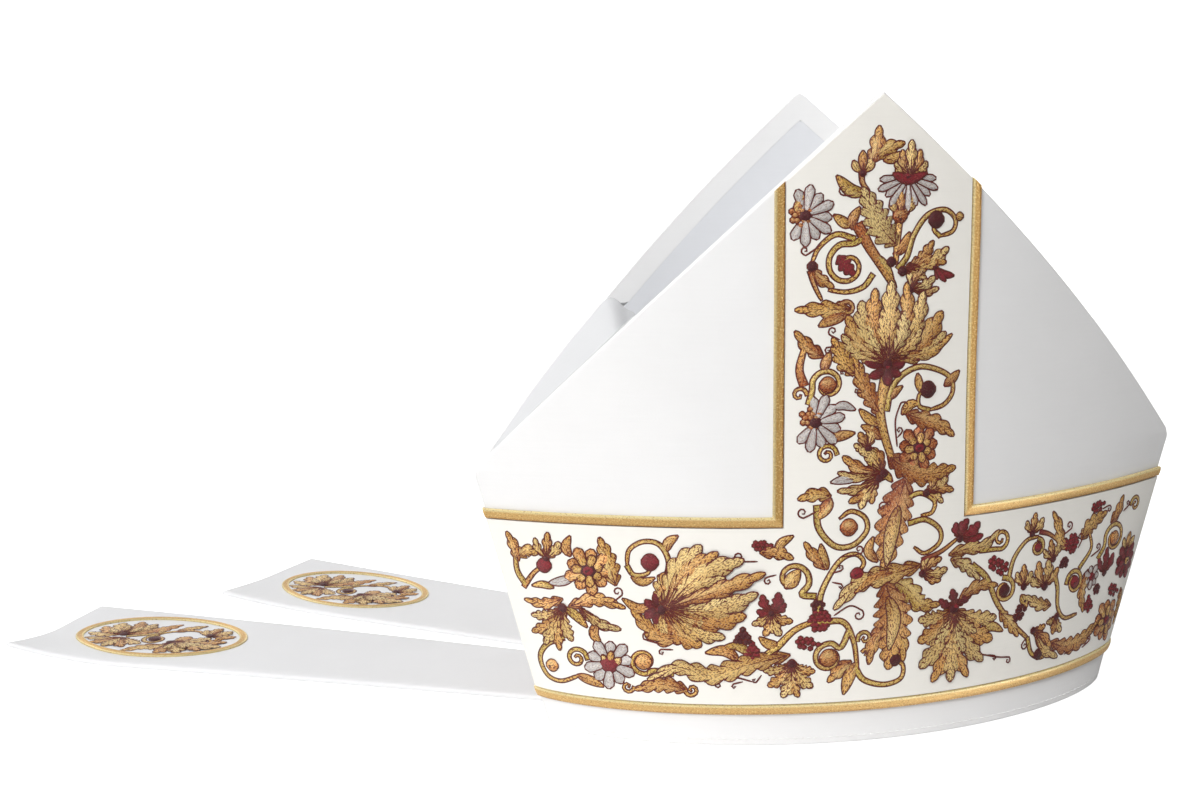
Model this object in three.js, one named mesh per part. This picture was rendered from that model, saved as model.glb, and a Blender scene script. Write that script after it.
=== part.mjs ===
// Bishop's mitre: two stiffened cloth panels seamed at the sides, open horns with a soft
// web between them, gold braids round a T-shaped orphrey, and two lappets laid out behind.
// Millimetres, +Z up. The origin is the middle of the head opening, on the rim's plane.
// The front panel faces -Y. The mitre stands on its rim at z = 0.
import * as THREE from 'three';

// ---------------------------------------------------------------- driving dimensions
// A level section of one panel: half depth * (1 - |2x / width| ^ squareness) ^ fullness.
const RIM = { z: 0, width: 271.2, depth: 102.4, fullness: 0.72, squareness: 1.97 };
const CORNER = { z: 120.3, width: 335, depth: 101.8, fullness: 1.06, squareness: 1.92 };
// The horns part as they rise, lean back a little and grow flatter.
const APEX = { z: 281.3, depth: 110.2, lean: 6.4, flattening: 0.19 };
const HORN_EDGE_BULGE = 5.9; // how far a horn's free edge swells past a straight line

const PANEL_WALL = 2.6; // face cloth, stiffener and interlining together
const LINING_WALL = 1.2;
const GAP = 0.3; // clearance between neighbouring pieces
const SEAM_GAP = 0.3; // clearance between front and back pieces at the side seams

const BRAID_WIDTH = 4.5;
const BRAID_PROUD = 1.3;
const LOWER_BRAID_Z = 17;
const UPPER_BRAID_Z = 100.9;
const ORPHREY_BRAID_U = 43.5; // from the panel's middle to the upright braids, along the cloth
const ORPHREY_WALL = 0.8;

const FACING_WIDTH = 10; // cloth turned in along the horns' free edges
const FACING_LOW_X = 104; // the facing stops where the web takes over
const LINING_HEM_Z = 5;

// The web's upper side where it meets the panels: a row for each station from the middle.
const WEB_ROWS = [
  { x: 0, z: 132, sag: 12 },
  { x: 40, z: 136, sag: 12 },
  { x: 64, z: 149, sag: 12 },
  { x: 84, z: 171, sag: 10 },
  { x: 104, z: 181, sag: 8 },
  { x: 126, z: 163, sag: 5 },
  { x: 146, z: 142, sag: 2 },
  { x: 155, z: 132, sag: 0 },
];
const WEB_SPAN = 154; // half length of the web
const WEB_CLEARANCE = 1; // between the web's edge and the linings

const LAPPET = { thickness: 3.2, headWidth: 54, endWidth: 84 };
// The head turns up the back panel's foot as a sewn tab.
const TAB = { thickness: 2, height: 12.5, clearance: 0.55 };
// Centre line of each lappet on the table, from under the rim to its free end.
const LAPPET_ROWS = [
  { name: 'lappet_left', headX: -78, headY: 30, endX: -370, endY: 185.5, bow: -2, curl: 7 },
  { name: 'lappet_right', headX: 37, headY: 25.5, endX: -258, endY: 257.5, bow: 4.5, curl: 3 },
];
const CURL_START = 0.8; // part of the length after which the front corner curls up
const RING = { halfLength: 47, halfWidth: 30.5, width: 4, height: 0.9, fromEnd: 63, gap: 0.45 };

// How finely the curved pieces are faceted.
const PANEL_COLUMNS = 26;
const LOW_ROWS = 5;
const HORN_ROWS = 11;

const FRONT = -1;
const BACK = 1;

// ---------------------------------------------------------------- materials
const WHITE_CLOTH = { color: 0xf1efec, roughness: 0.86, metalness: 0 };
const ORPHREY_CLOTH = { color: 0xf4f0e6, roughness: 0.82, metalness: 0 };
const LINING_CLOTH = { color: 0xd9dbe0, roughness: 0.72, metalness: 0 };
const GOLD_BRAID = { color: 0xd2a94f, roughness: 0.45, metalness: 0.45 };
const LAPPET_CLOTH = { color: 0xf0efee, roughness: 0.86, metalness: 0 };

// ---------------------------------------------------------------- panel surface
const mix = (a, b, t) => a + (b - a) * t;
const clamp = (value, low, high) => Math.min(Math.max(value, low), high);

/** Part of the way from the rim to the corners, then held. */
const lowPart = (z) => clamp(z / CORNER.z, 0, 1);

/** Part of the way from the corners to the apex, zero below the corners. */
const hornPart = (z) => clamp((z - CORNER.z) / (APEX.z - CORNER.z), 0, 1);

/** Half the panel's width in x at a height: to the seam, or to the horn's free edge. */
function halfWidth(z) {
  const t = hornPart(z);
  if (t === 0) return mix(RIM.width, CORNER.width, lowPart(z)) / 2;
  return (CORNER.width / 2) * (1 - t) + HORN_EDGE_BULGE * 4 * t * (1 - t);
}

/** The plane midway between front and back, which leans back above the corners. */
const midY = (z) => APEX.lean * hornPart(z);

/** Distance of a panel's face from the middle plane. */
function faceDepth(x, z) {
  const low = lowPart(z);
  const t = hornPart(z);
  const width = mix(RIM.width, CORNER.width, low);
  const power = mix(RIM.squareness, CORNER.squareness, low);
  const fullness = mix(RIM.fullness, CORNER.fullness, low);
  const depth = t > 0 ? mix(CORNER.depth, APEX.depth, t) : mix(RIM.depth, CORNER.depth, low);
  const across = Math.min(Math.abs((2 * x) / width), 1);
  const bowed = (1 - across ** power) ** fullness;
  return (depth / 2) * (1 - (1 - bowed) * (1 - APEX.flattening * t));
}

/** Slope of the section, taken just inside the seam where it would be upright. */
function faceSlope(x, z) {
  const step = 0.4;
  const width = mix(RIM.width, CORNER.width, lowPart(z));
  const inside = clamp(x, -width / 2 + 2 * step, width / 2 - 2 * step);
  return (faceDepth(inside + step, z) - faceDepth(inside - step, z)) / (2 * step);
}

/** A point of the front or back panel, moved out from its face (in if negative). */
function panelPoint(side, x, z, out) {
  const slope = faceSlope(x, z);
  const length = Math.hypot(slope, 1);
  const depth = Math.max(faceDepth(x, z) + out / length, SEAM_GAP / 2);
  return new THREE.Vector3(x - (out * slope) / length, midY(z) + side * depth, z);
}

// Arc length across the panel at one height, as pairs of x and u (distance along the cloth).
const ARC_STEPS = 90;
const arcTables = new Map();
function arcTable(z) {
  const key = z.toFixed(3);
  if (!arcTables.has(key)) {
    const half = halfWidth(z);
    const table = [{ x: 0, u: 0 }];
    for (let i = 1; i <= ARC_STEPS; i++) {
      const x = half * Math.sin((Math.PI / 2) * (i / ARC_STEPS));
      const last = table[i - 1];
      const rise = faceDepth(x, z) - faceDepth(last.x, z);
      table.push({ x, u: last.u + Math.hypot(x - last.x, rise) });
    }
    arcTables.set(key, table);
  }
  return arcTables.get(key);
}

/** Half the cloth's width at a height, measured along the cloth. */
const halfCloth = (z) => arcTable(z)[ARC_STEPS].u;

/** The x of a point that lies u along the cloth from the panel's middle. */
function xAlongCloth(u, z) {
  const table = arcTable(z);
  const distance = Math.abs(u);
  let i = 1;
  while (i < ARC_STEPS && table[i].u < distance) i++;
  const span = Math.max(table[i].u - table[i - 1].u, 1e-9);
  const part = clamp((distance - table[i - 1].u) / span, 0, 1);
  return Math.sign(u) * mix(table[i - 1].x, table[i].x, part);
}

/** The height where a falling function of z passes a value. */
function heightWhere(fn, value, low, high) {
  let below = low;
  let above = high;
  for (let i = 0; i < 50; i++) {
    const middle = (below + above) / 2;
    if (fn(middle) > value) below = middle;
    else above = middle;
  }
  return (below + above) / 2;
}

/** Half the cloth's width left inside a border of the given width along the free edge. */
function halfInside(z, border) {
  const step = 0.5;
  const lean = (halfCloth(z + step) - halfCloth(z - step)) / (2 * step);
  return halfCloth(z) - border * Math.hypot(1, lean);
}

// ---------------------------------------------------------------- solids from cells
/** A closed body from two matching skins: cells are polygons of point numbers. */
function bodyFromSkins(outerPoints, innerPoints, cells) {
  const count = outerPoints.length;
  const position = [...outerPoints, ...innerPoints].flatMap((p) => [p.x, p.y, p.z]);
  const index = [];
  const edges = new Map();
  for (const cell of cells) {
    for (let i = 1; i < cell.length - 1; i++) {
      index.push(cell[0], cell[i], cell[i + 1]);
      index.push(count + cell[0], count + cell[i + 1], count + cell[i]);
    }
    cell.forEach((from, i) => edges.set(`${from},${cell[(i + 1) % cell.length]}`, true));
  }
  for (const edge of edges.keys()) {
    const [from, to] = edge.split(',').map(Number);
    if (edges.has(`${to},${from}`)) continue;
    index.push(from, count + from, count + to);
    index.push(from, count + to, to);
  }
  const geometry = new THREE.BufferGeometry();
  geometry.setAttribute('position', new THREE.Float32BufferAttribute(position, 3));
  geometry.setIndex(index);
  return facingOut(geometry);
}

/** Turns every triangle over if the body's volume comes out negative. */
function facingOut(geometry) {
  const p = geometry.getAttribute('position');
  const index = geometry.getIndex();
  const [a, b, c] = [new THREE.Vector3(), new THREE.Vector3(), new THREE.Vector3()];
  let volume = 0;
  for (let i = 0; i < index.count; i += 3) {
    a.fromBufferAttribute(p, index.getX(i));
    b.fromBufferAttribute(p, index.getX(i + 1));
    c.fromBufferAttribute(p, index.getX(i + 2));
    volume += a.dot(b.cross(c));
  }
  if (volume < 0) geometry.setIndex(Array.from(index.array).reverse());
  geometry.computeVertexNormals();
  return geometry;
}

/** Numbers the flat points of polygons, so that shared points are shared. */
function numberPoints(polygons) {
  const points = [];
  const numbers = new Map();
  const cells = [];
  for (const polygon of polygons) {
    const cell = [];
    for (const [x, z] of polygon) {
      const key = `${(x + 0).toFixed(3)},${z.toFixed(3)}`.replace('-0.000', '0.000');
      if (!numbers.has(key)) {
        numbers.set(key, points.length);
        points.push([x, z]);
      }
      const number = numbers.get(key);
      if (!cell.includes(number)) cell.push(number);
    }
    if (cell.length > 2) cells.push(cell);
  }
  return { points, cells };
}

/** A piece of cloth on a panel, from flat polygons of [x, z] and its two offsets. */
function clothBody(side, polygons, inner, outer) {
  const { points, cells } = numberPoints(polygons);
  const skin = (out) => points.map(([x, z]) => panelPoint(side, x, z, out));
  return bodyFromSkins(skin(outer), skin(inner), cells);
}

/** The four-sided cells of a grid whose corners a function gives. */
function gridCells(columns, rows, corner) {
  const cells = [];
  for (let j = 0; j < rows; j++) {
    for (let i = 0; i < columns; i++) {
      cells.push([corner(i, j), corner(i + 1, j), corner(i + 1, j + 1), corner(i, j + 1)]);
    }
  }
  return cells;
}

/** Evenly spaced numbers, ends included. */
function steps(low, high, count) {
  return Array.from({ length: count + 1 }, (_, i) => mix(low, high, i / count));
}

/** From -1 to 1, closer together at the ends, where a panel bends most. */
const endwise = (count) => steps(-1, 1, count).map((v) => Math.sin((Math.PI / 2) * v));

// ---------------------------------------------------------------- panels and linings
/** Heights from the rim to the apex, closer together near the corners. */
function panelHeights() {
  const low = steps(RIM.z, CORNER.z, LOW_ROWS);
  const horn = steps(0, 1, HORN_ROWS).slice(1);
  return [...low, ...horn.map((t) => mix(CORNER.z, APEX.z, t ** 1.25))];
}

function panelShell(side) {
  const heights = panelHeights();
  const across = endwise(PANEL_COLUMNS);
  const corner = (i, j) => [across[i] * halfWidth(heights[j]), heights[j]];
  const cells = gridCells(PANEL_COLUMNS, heights.length - 1, corner);
  return clothBody(side, cells, -PANEL_WALL, 0);
}

const LINING_OUTER = -(PANEL_WALL + GAP);
const LINING_INNER = LINING_OUTER - LINING_WALL;

/** Half the lining's width in x: clear of the seam, and of the facing above. */
function liningHalf(z) {
  const seamClear = 1.2;
  let x = halfWidth(z);
  if (z <= CORNER.z + FACING_WIDTH) {
    while (faceDepth(x, z) + LINING_INNER < seamClear) x -= 0.25;
  }
  if (z <= CORNER.z) return x;
  const inside = halfInside(z, FACING_WIDTH + GAP);
  return Math.min(x, Math.max(xAlongCloth(Math.max(inside, 0), z), 0));
}

function panelLining(side) {
  const columns = 16;
  const inside = (z) => halfInside(z, FACING_WIDTH + GAP);
  const top = heightWhere(inside, 0, CORNER.z + 40, APEX.z - 1);
  const heights = [...steps(LINING_HEM_Z, CORNER.z, 4), ...steps(CORNER.z, top, 7).slice(1)];
  const across = endwise(columns);
  const corner = (i, j) => {
    const z = heights[j];
    return [z === top ? 0 : across[i] * liningHalf(z), z];
  };
  const cells = gridCells(columns, heights.length - 1, corner);
  return clothBody(side, cells, LINING_INNER, LINING_OUTER);
}

/** The turned-in border: a narrow band along both free edges, meeting at the apex. */
function panelFacing(side) {
  const count = 12;
  const start = heightWhere(halfWidth, FACING_LOW_X, CORNER.z, APEX.z);
  const inside = (z) => halfInside(z, FACING_WIDTH);
  const innerTop = heightWhere(inside, 0, CORNER.z + 40, APEX.z - 1);
  const outerHeights = steps(start, APEX.z, count);
  const innerHeights = steps(start, innerTop, count);
  const border = (i) => {
    const outer = outerHeights[i];
    const inner = innerHeights[i];
    const last = i === count;
    return {
      outer: [last ? 0 : halfWidth(outer), outer],
      inner: [last ? 0 : xAlongCloth(Math.max(inside(inner), 0), inner), inner],
    };
  };
  const polygons = [];
  for (let i = 0; i < count; i++) {
    const [a, b] = [border(i), border(i + 1)];
    const right = [a.inner, a.outer, b.outer, b.inner];
    polygons.push(right);
    polygons.push(right.map(([x, z]) => [-x, z]).reverse());
  }
  return clothBody(side, polygons, LINING_INNER, LINING_OUTER);
}

// ---------------------------------------------------------------- web between the horns
/** Smooth value of one column of the web's table at a distance from the middle. */
function webValue(column, x) {
  const rows = WEB_ROWS;
  const distance = Math.abs(x);
  let i = 0;
  while (i < rows.length - 2 && rows[i + 1].x < distance) i++;
  const t = clamp((distance - rows[i].x) / (rows[i + 1].x - rows[i].x), 0, 1);
  return mix(rows[i][column], rows[i + 1][column], t * t * (3 - 2 * t));
}

function crownGusset() {
  const columns = 28;
  const acrossCount = 6;
  const stations = steps(-WEB_SPAN, WEB_SPAN, columns);
  const clear = LINING_INNER - WEB_CLEARANCE;
  const webPoint = (x, v, drop) => {
    const level = webValue('z', x);
    const reach = faceDepth(x, level) + clear * Math.hypot(1, faceSlope(x, level));
    const z = level - webValue('sag', x) * (1 - v * v) - drop;
    return new THREE.Vector3(x, midY(level) + v * Math.max(reach, 0.4), z);
  };
  const number = (i, j) => i * (acrossCount + 1) + j;
  const cells = [];
  for (let i = 0; i < columns; i++) {
    for (let j = 0; j < acrossCount; j++) {
      cells.push([number(i, j), number(i + 1, j), number(i + 1, j + 1), number(i, j + 1)]);
    }
  }
  const across = steps(-1, 1, acrossCount);
  const skin = (drop) => stations.flatMap((x) => across.map((v) => webPoint(x, v, drop)));
  return bodyFromSkins(skin(0), skin(LINING_WALL), cells);
}

// ---------------------------------------------------------------- orphrey and braids
/** A patch of cloth bounded in u by two functions of z. */
function clothPatch(heights, parts, lowU, highU) {
  const corner = (i, j) => {
    const z = heights[j];
    return [xAlongCloth(mix(lowU(z), highU(z), parts[i]), z), z];
  };
  return gridCells(parts.length - 1, heights.length - 1, corner);
}

const BRAID_HALF = BRAID_WIDTH / 2;
const ORPHREY_HALF = ORPHREY_BRAID_U - BRAID_HALF - GAP;
const OUTWARD_PARTS = steps(0, 1, 9).map((t) => Math.sin((Math.PI / 2) * t));

/** Polygons mirrored to the other side of the panel's middle. */
const mirrored = (polygons) => polygons.map((cell) => cell.map(([x, z]) => [-x, z]).reverse());

/** The T-shaped ground: a band round the head and an upright strip to the apex. */
function orphreyGround(side) {
  const low = LOWER_BRAID_Z + BRAID_HALF + GAP;
  const high = UPPER_BRAID_Z - BRAID_HALF - GAP;
  const bandHeights = steps(low, high, 4);
  const middleParts = steps(0, 1, 5);
  const outward = clothPatch(bandHeights, OUTWARD_PARTS, () => ORPHREY_HALF, halfCloth);
  const shoulder = heightWhere(halfCloth, ORPHREY_HALF, CORNER.z, APEX.z);
  const sides = steps(high, shoulder, 7).slice(1);
  const point = steps(shoulder, APEX.z, 3).slice(1);
  const uprightHeights = [...bandHeights, ...sides, ...point];
  const reach = (z) => (z >= APEX.z ? 0 : Math.min(ORPHREY_HALF, halfCloth(z)));
  const upright = clothPatch(uprightHeights, middleParts, (z) => -reach(z), reach);
  const cells = [...outward, ...mirrored(outward), ...upright];
  return clothBody(side, cells, GAP, GAP + ORPHREY_WALL);
}

/** An L of braid: up beside the orphrey to the free edge, and along to the side seam. */
function orphreyBraid(side, hand) {
  const [near, far] = [ORPHREY_BRAID_U - BRAID_HALF, ORPHREY_BRAID_U + BRAID_HALF];
  const [low, high] = [UPPER_BRAID_Z - BRAID_HALF, UPPER_BRAID_Z + BRAID_HALF];
  const along = clothPatch([low, high], OUTWARD_PARTS, () => far, halfCloth);
  const bend = clothPatch([low, high], [0, 1], () => near, () => far);
  const columns = [near, far].map((u) => {
    const top = heightWhere(halfCloth, u, CORNER.z, APEX.z);
    return steps(high, top, 10).map((z) => [xAlongCloth(u, z), z]);
  });
  const upright = gridCells(1, 10, (i, j) => columns[i][j]);
  const right = [...along, ...bend, ...upright];
  return clothBody(side, hand > 0 ? right : mirrored(right), GAP, GAP + BRAID_PROUD);
}

/** The braid that runs round just above the plain rim. */
function lowerBraid(side) {
  const heights = [LOWER_BRAID_Z - BRAID_HALF, LOWER_BRAID_Z + BRAID_HALF];
  const parts = endwise(24).map((v) => (v + 1) / 2);
  const cells = clothPatch(heights, parts, (z) => -halfCloth(z), halfCloth);
  return clothBody(side, cells, GAP, GAP + BRAID_PROUD);
}

// ---------------------------------------------------------------- lappets
/** Flat place on a lappet: s runs from head to end, q from -1 to 1 across it. */
function lappetPlace(row, s, q) {
  const [dx, dy] = [row.endX - row.headX, row.endY - row.headY];
  const length = Math.hypot(dx, dy);
  const [normalX, normalY] = [-dy / length, dx / length];
  const width = mix(LAPPET.headWidth, LAPPET.endWidth, s);
  const aside = (q * width) / 2 + row.bow * 4 * s * (1 - s);
  return { x: row.headX + dx * s + normalX * aside, y: row.headY + dy * s + normalY * aside };
}

/** How far a lappet is lifted off the table: only its front free corner curls. */
function lappetLift(row, s, q) {
  const along = clamp((s - CURL_START) / (1 - CURL_START), 0, 1);
  return row.curl * along ** 2 * Math.max(q, 0) ** 1.5;
}

/** Back panel's y at a distance out from its face. */
const backY = (x, z, out) => midY(z) + faceDepth(x, z) + out * Math.hypot(1, faceSlope(x, z));

/** Where a line along the lappet comes out of the back panel's wall. */
function lappetStart(row, q, out) {
  let inside = 0;
  let outside = 0.5;
  for (let i = 0; i < 40; i++) {
    const middle = (inside + outside) / 2;
    const place = lappetPlace(row, middle, q);
    if (place.y > backY(place.x, 0, out)) outside = middle;
    else inside = middle;
  }
  return outside;
}

/** A padded strip on the table whose head turns up against the back panel. */
function lappetBody(row) {
  const rows = [...steps(0, 0.7, 6), ...steps(0.7, 1, 7).slice(1)];
  const across = [-1, -0.93, -0.47, 0, 0.47, 0.93, 1];
  const edgeDrop = (q) => (Math.abs(q) === 1 ? LAPPET.thickness * 0.45 : 0);
  const tabFace = TAB.clearance + TAB.thickness;
  const table = [];
  for (const q of across) {
    const under = lappetStart(row, q, TAB.clearance);
    const over = lappetStart(row, q, tabFace);
    const foot = lappetPlace(row, under, q);
    const crease = lappetPlace(row, over, q);
    table.push({
      outer: new THREE.Vector3(crease.x, backY(crease.x, TAB.height, tabFace), TAB.height),
      inner: new THREE.Vector3(foot.x, backY(foot.x, TAB.height, TAB.clearance), TAB.height),
    });
    for (const r of rows) {
      const [low, high] = [mix(under, 1, r), mix(over, 1, r)];
      const [bottom, top] = [lappetPlace(row, low, q), lappetPlace(row, high, q)];
      const topZ = LAPPET.thickness - edgeDrop(q) + lappetLift(row, high, q);
      table.push({
        outer: new THREE.Vector3(top.x, r === 0 ? backY(top.x, topZ, tabFace) : top.y, topZ),
        inner: new THREE.Vector3(bottom.x, bottom.y, lappetLift(row, low, q)),
      });
    }
  }
  const perLine = rows.length + 1;
  const number = (i, j) => i * perLine + j;
  const cells = [];
  for (let i = 0; i < across.length - 1; i++) {
    for (let j = 0; j < perLine - 1; j++) {
      cells.push([number(i, j), number(i + 1, j), number(i + 1, j + 1), number(i, j + 1)]);
    }
  }
  return bodyFromSkins(table.map((p) => p.outer), table.map((p) => p.inner), cells);
}

/** The oval of gold braid near a lappet's free end. */
function lappetRing(row) {
  const count = 40;
  const length = Math.hypot(row.endX - row.headX, row.endY - row.headY);
  const middle = 1 - RING.fromEnd / length;
  const width = mix(LAPPET.headWidth, LAPPET.endWidth, middle);
  const ringPoint = (i, inset, height) => {
    const angle = (2 * Math.PI * i) / count;
    const s = middle + ((RING.halfLength - inset) * Math.cos(angle)) / length;
    const q = ((RING.halfWidth - inset) * Math.sin(angle)) / (width / 2);
    const { x, y } = lappetPlace(row, s, q);
    return new THREE.Vector3(x, y, LAPPET.thickness + RING.gap + lappetLift(row, s, q) + height);
  };
  const skin = (height) => steps(0, count - 1, count - 1).flatMap((i) => [
    ringPoint(i, 0, height),
    ringPoint(i, RING.width, height),
  ]);
  const cells = [];
  for (let i = 0; i < count; i++) {
    const next = (i + 1) % count;
    cells.push([2 * i, 2 * next, 2 * next + 1, 2 * i + 1]);
  }
  return bodyFromSkins(skin(RING.height), skin(0), cells);
}

// ---------------------------------------------------------------- assembly
const group = new THREE.Group();

function addPiece(name, geometry, finish) {
  const mesh = new THREE.Mesh(geometry, new THREE.MeshStandardMaterial(finish));
  mesh.name = name;
  group.add(mesh);
}

for (const [prefix, side] of [['front', FRONT], ['back', BACK]]) {
  addPiece(`${prefix}_shell`, panelShell(side), WHITE_CLOTH);
  addPiece(`${prefix}_lining`, panelLining(side), LINING_CLOTH);
  addPiece(`${prefix}_facing`, panelFacing(side), WHITE_CLOTH);
  addPiece(`${prefix}_orphrey`, orphreyGround(side), ORPHREY_CLOTH);
  addPiece(`${prefix}_braid_left`, orphreyBraid(side, -1), GOLD_BRAID);
  addPiece(`${prefix}_braid_right`, orphreyBraid(side, 1), GOLD_BRAID);
  addPiece(`${prefix}_braid_lower`, lowerBraid(side), GOLD_BRAID);
}
addPiece('crown_gusset', crownGusset(), LINING_CLOTH);
for (const row of LAPPET_ROWS) {
  addPiece(row.name, lappetBody(row), LAPPET_CLOTH);
  addPiece(`${row.name}_ring`, lappetRing(row), GOLD_BRAID);
}

export default group;
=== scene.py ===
"""A bishop's mitre: two stiffened cloth panels, gold braid, needlework and two lappets.

Sizes are in millimetres along the cloth. Everything is turned into metres where it is placed.
"""

import logging
import math
from dataclasses import dataclass, field
from enum import Enum
from typing import Callable, ClassVar, Protocol

import bpy
import numpy as np
from mathutils import Matrix, Vector


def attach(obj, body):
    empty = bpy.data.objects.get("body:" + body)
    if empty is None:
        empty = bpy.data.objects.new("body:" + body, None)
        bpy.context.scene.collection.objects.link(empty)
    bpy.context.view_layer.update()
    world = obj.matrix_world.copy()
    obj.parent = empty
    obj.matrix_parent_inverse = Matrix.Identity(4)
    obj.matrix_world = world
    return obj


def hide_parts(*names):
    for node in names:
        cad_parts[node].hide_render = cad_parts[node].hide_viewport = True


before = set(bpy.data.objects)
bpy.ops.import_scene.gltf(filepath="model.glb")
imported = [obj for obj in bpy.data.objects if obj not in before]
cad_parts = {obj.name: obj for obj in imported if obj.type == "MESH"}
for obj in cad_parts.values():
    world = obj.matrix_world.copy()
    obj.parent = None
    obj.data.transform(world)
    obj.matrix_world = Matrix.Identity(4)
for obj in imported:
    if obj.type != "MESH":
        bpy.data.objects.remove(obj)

Array = np.ndarray
Piece = bpy.types.Object
Socket = bpy.types.NodeSocket
Pair = tuple[float, float]
Triple = tuple[float, float, float]

LOG = logging.getLogger("mitre")
MM = 0.001
FRONT = -1
BACK = 1
# Keeps a length from being divided by nothing.
TINY = 1e-6
# How many steps across the panel the cloth is measured in.
CLOTH_STEPS = 192
# A wave node's scale for ribs one unit apart.
WAVE_RATE = 0.314
# Turns flat points over to the panel's other half.
MIRROR = np.array([-1.0, 1.0])


# ---------------------------------------------------------------- small sums
def mix(low: Array, high: Array, part: Array) -> Array:
    """Goes from low to high as part goes from 0 to 1."""
    return low + (high - low) * part


def endwise(count: int, low: float = -1.0, high: float = 1.0) -> Array:
    """Gives count + 1 numbers from low to high, closer together at both ends."""
    return low + (high - low) * (1 - np.cos(np.linspace(0, math.pi, count + 1))) / 2


def linear(colour: Triple) -> tuple[float, ...]:
    """Turns a screen colour into the linear one that shaders use."""
    return (*(((c + 0.055) / 1.055) ** 2.4 if c > 0.04 else c / 12.92 for c in colour), 1.0)


def smooth_line(points: list[Pair], count: int) -> Array:
    """Draws a smooth curve through a few points.

    Args:
        points: The places that the curve passes.
        count: How many points the curve is given as.

    Returns:
        The curve's points, evenly spread along its knots.
    """
    knots = np.array(points, float)
    if len(knots) == 2:
        return mix(knots[0], knots[1], np.linspace(0, 1, count)[:, None])
    padded = np.vstack([2 * knots[0] - knots[1], knots, 2 * knots[-1] - knots[-2]])
    lengths = np.hypot(*np.diff(knots, axis=0).T)
    reached = np.concatenate([[0], np.cumsum(lengths)]) / lengths.sum()
    place = np.interp(np.linspace(0, 1, count), reached, np.arange(len(knots)))
    span = np.minimum(place.astype(int), len(knots) - 2)
    t = (place - span)[:, None]
    a, b, c, d = (padded[span + k] for k in range(4))
    bend = (2 * a - 5 * b + 4 * c - d) * t**2 + (3 * b - a - 3 * c + d) * t**3
    return (2 * b + (c - a) * t + bend) / 2


def headings(line: Array) -> Array:
    """The direction of a line at each of its points."""
    ahead = np.gradient(line, axis=0)
    return ahead / np.maximum(np.hypot(*ahead.T)[:, None], TINY)


def quads(number: Array, flipped: bool = False) -> Array:
    """Gives the point numbers round each cell of a grid, the other way round if flipped."""
    a, b, c, d = number[:-1, :-1], number[:-1, 1:], number[1:, 1:], number[1:, :-1]
    return np.stack((a, d, c, b) if flipped else (a, b, c, d), axis=-1).reshape(-1, 4)


def line_length(points: list[Pair]) -> float:
    """Adds up the straight pieces of a line."""
    return float(np.hypot(*np.diff(np.array(points, float), axis=0).T).sum())


# ---------------------------------------------------------------- surfaces that cloth lies on
class Surface(Protocol):
    """Anything that cloth can be laid on, by distances along it."""

    def place(self, u: Array, v: Array, out: Array) -> Array:
        """Gives the points in metres that lie u across, v up and out from the surface."""


@dataclass(frozen=True)
class Section:
    """A level section of a panel: depth * (1 - |2x / width| ^ squareness) ^ fullness."""

    z: float
    width: float
    depth: float
    fullness: float
    squareness: float


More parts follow.
